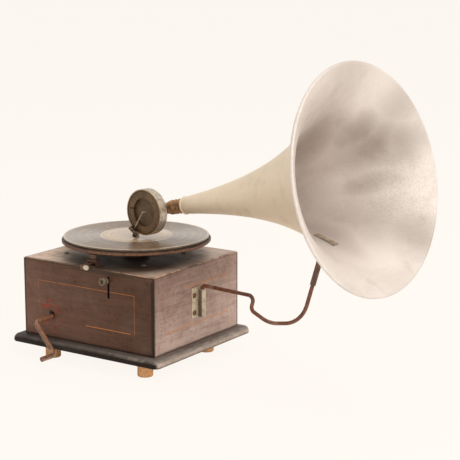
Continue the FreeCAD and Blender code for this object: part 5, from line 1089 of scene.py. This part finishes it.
class GRAMOPHONE_OT_studio(bpy.types.Operator):
    """Set up the floor, the lamps, the sky and the camera"""
    bl_idname = "gramophone.studio"
    bl_label = "Studio"

    def seen_rays(self, w):
        """One for rays from the camera, from mirrors and through glass; none for light on the object."""
        rays = w.add("ShaderNodeLightPath").outputs
        shown = w.math("MAXIMUM", rays["Is Camera Ray"], rays["Is Glossy Ray"])
        return w.math("MAXIMUM", shown, rays["Is Transmission Ray"])

    def floor(self, studio):
        reach = studio.floor_reach
        mesh = bpy.data.meshes.new("floor")
        corners = [(-reach, -reach, 0), (reach, -reach, 0), (reach, reach, 0), (-reach, reach, 0)]
        mesh.from_pydata(corners, [], [(0, 1, 2, 3)])
        put_in_scene("floor", mesh)
        material = bpy.data.materials.new("Paper")
        material.use_nodes = True
        w = Wiring(material.node_tree)
        matte = w.add("ShaderNodeBsdfDiffuse", {"Color": shade(studio.paper)})
        glow = w.add("ShaderNodeEmission", {"Color": shade(studio.paper), "Strength": 1.0})
        share = w.times(self.seen_rays(w), 0.95)  # the rest of it keeps the object's shadow
        both = w.add("ShaderNodeMixShader", {0: share, 1: matte.outputs[0], 2: glow.outputs[0]})
        w.add("ShaderNodeOutputMaterial", {"Surface": both.outputs[0]})
        mesh.materials.append(material)

    def sky(self, studio):
        world = bpy.data.worlds.new("Studio")
        world.use_nodes = True
        w = Wiring(world.node_tree)
        light = w.add("ShaderNodeBackground", {"Color": shade(studio.paper), "Strength": studio.sky_strength})
        seen = w.add("ShaderNodeBackground", {"Color": shade(studio.paper), "Strength": 1.0})
        both = w.add("ShaderNodeMixShader", {0: self.seen_rays(w), 1: light.outputs[0], 2: seen.outputs[0]})
        w.add("ShaderNodeOutputWorld", {"Surface": both.outputs[0]})
        bpy.context.scene.world = world

    def lamp(self, name, power, size, place):
        """A square lamp that points at the middle of the object."""
        target = np.array((0.0, 0.0, 0.15))
        light = bpy.data.lights.new(name, "AREA")
        light.energy = power
        light.size = size
        lamp = put_in_scene(name, light)
        lamp.location = place
        lamp.visible_glossy = False
        x, y, z = target - np.array(place)
        lamp.rotation_euler = (math.atan2(math.hypot(x, y), -z), 0.0, math.atan2(-x, y))

    def execute(self, context):
        studio = context.scene.gramophone_studio
        context.scene.view_settings.view_transform = "Standard"
        self.floor(studio)
        self.sky(studio)
        self.lamp("key_lamp", studio.key_power, size=1.8, place=(1.9, -0.35, 1.3))
        self.lamp("top_lamp", studio.top_power, size=1.6, place=(0.2, 0.2, 2.2))
        lens = bpy.data.cameras.new("camera")
        lens.lens = studio.lens
        lens.sensor_width = 36.0
        lens.clip_end = 200.0
        camera = put_in_scene("camera", lens)
        camera.location = studio.camera_place
        camera.rotation_euler = (math.pi / 2 - studio.camera_tilt, 0.0, studio.camera_turn)
        context.scene.camera = camera
        return {"FINISHED"}


SETTINGS = {"gramophone_studio": StudioSettings, "gramophone_wood": WoodSettings,
            "gramophone_metals": MetalSettings, "gramophone_soft": SoftSettings}
STEPS = (GRAMOPHONE_OT_studio, GRAMOPHONE_OT_case, GRAMOPHONE_OT_plinth, GRAMOPHONE_OT_disc,
         GRAMOPHONE_OT_turntable, GRAMOPHONE_OT_motor, GRAMOPHONE_OT_crank, GRAMOPHONE_OT_speed_lever,
         GRAMOPHONE_OT_brake, GRAMOPHONE_OT_arm, GRAMOPHONE_OT_horn, GRAMOPHONE_OT_sleeve,
         GRAMOPHONE_OT_sound_box)


class GRAMOPHONE_PT_panel(bpy.types.Panel):
    """Settings and pieces of the gramophone"""
    bl_idname = "GRAMOPHONE_PT_panel"
    bl_label = "Gramophone"
    bl_space_type = "VIEW_3D"
    bl_region_type = "UI"
    bl_category = "Gramophone"

    def draw(self, context):
        for name in SETTINGS:
            box = self.layout.box()
            group = getattr(context.scene, name)
            for key in group.__annotations__:
                box.prop(group, key)
        for step in STEPS:
            self.layout.operator(step.bl_idname)


def register():
    for name, group in SETTINGS.items():
        bpy.utils.register_class(group)
        setattr(bpy.types.Scene, name, bpy.props.PointerProperty(type=group))
    for item in (*STEPS, GRAMOPHONE_PT_panel):
        bpy.utils.register_class(item)


def unregister():
    for item in (GRAMOPHONE_PT_panel, *reversed(STEPS)):
        bpy.utils.unregister_class(item)
    for name, group in SETTINGS.items():
        delattr(bpy.types.Scene, name)
        bpy.utils.unregister_class(group)


def main():
    register()
    for step in STEPS:
        family, action = step.bl_idname.split(".")
        getattr(getattr(bpy.ops, family), action)()


if __name__ == "__main__":
    main()
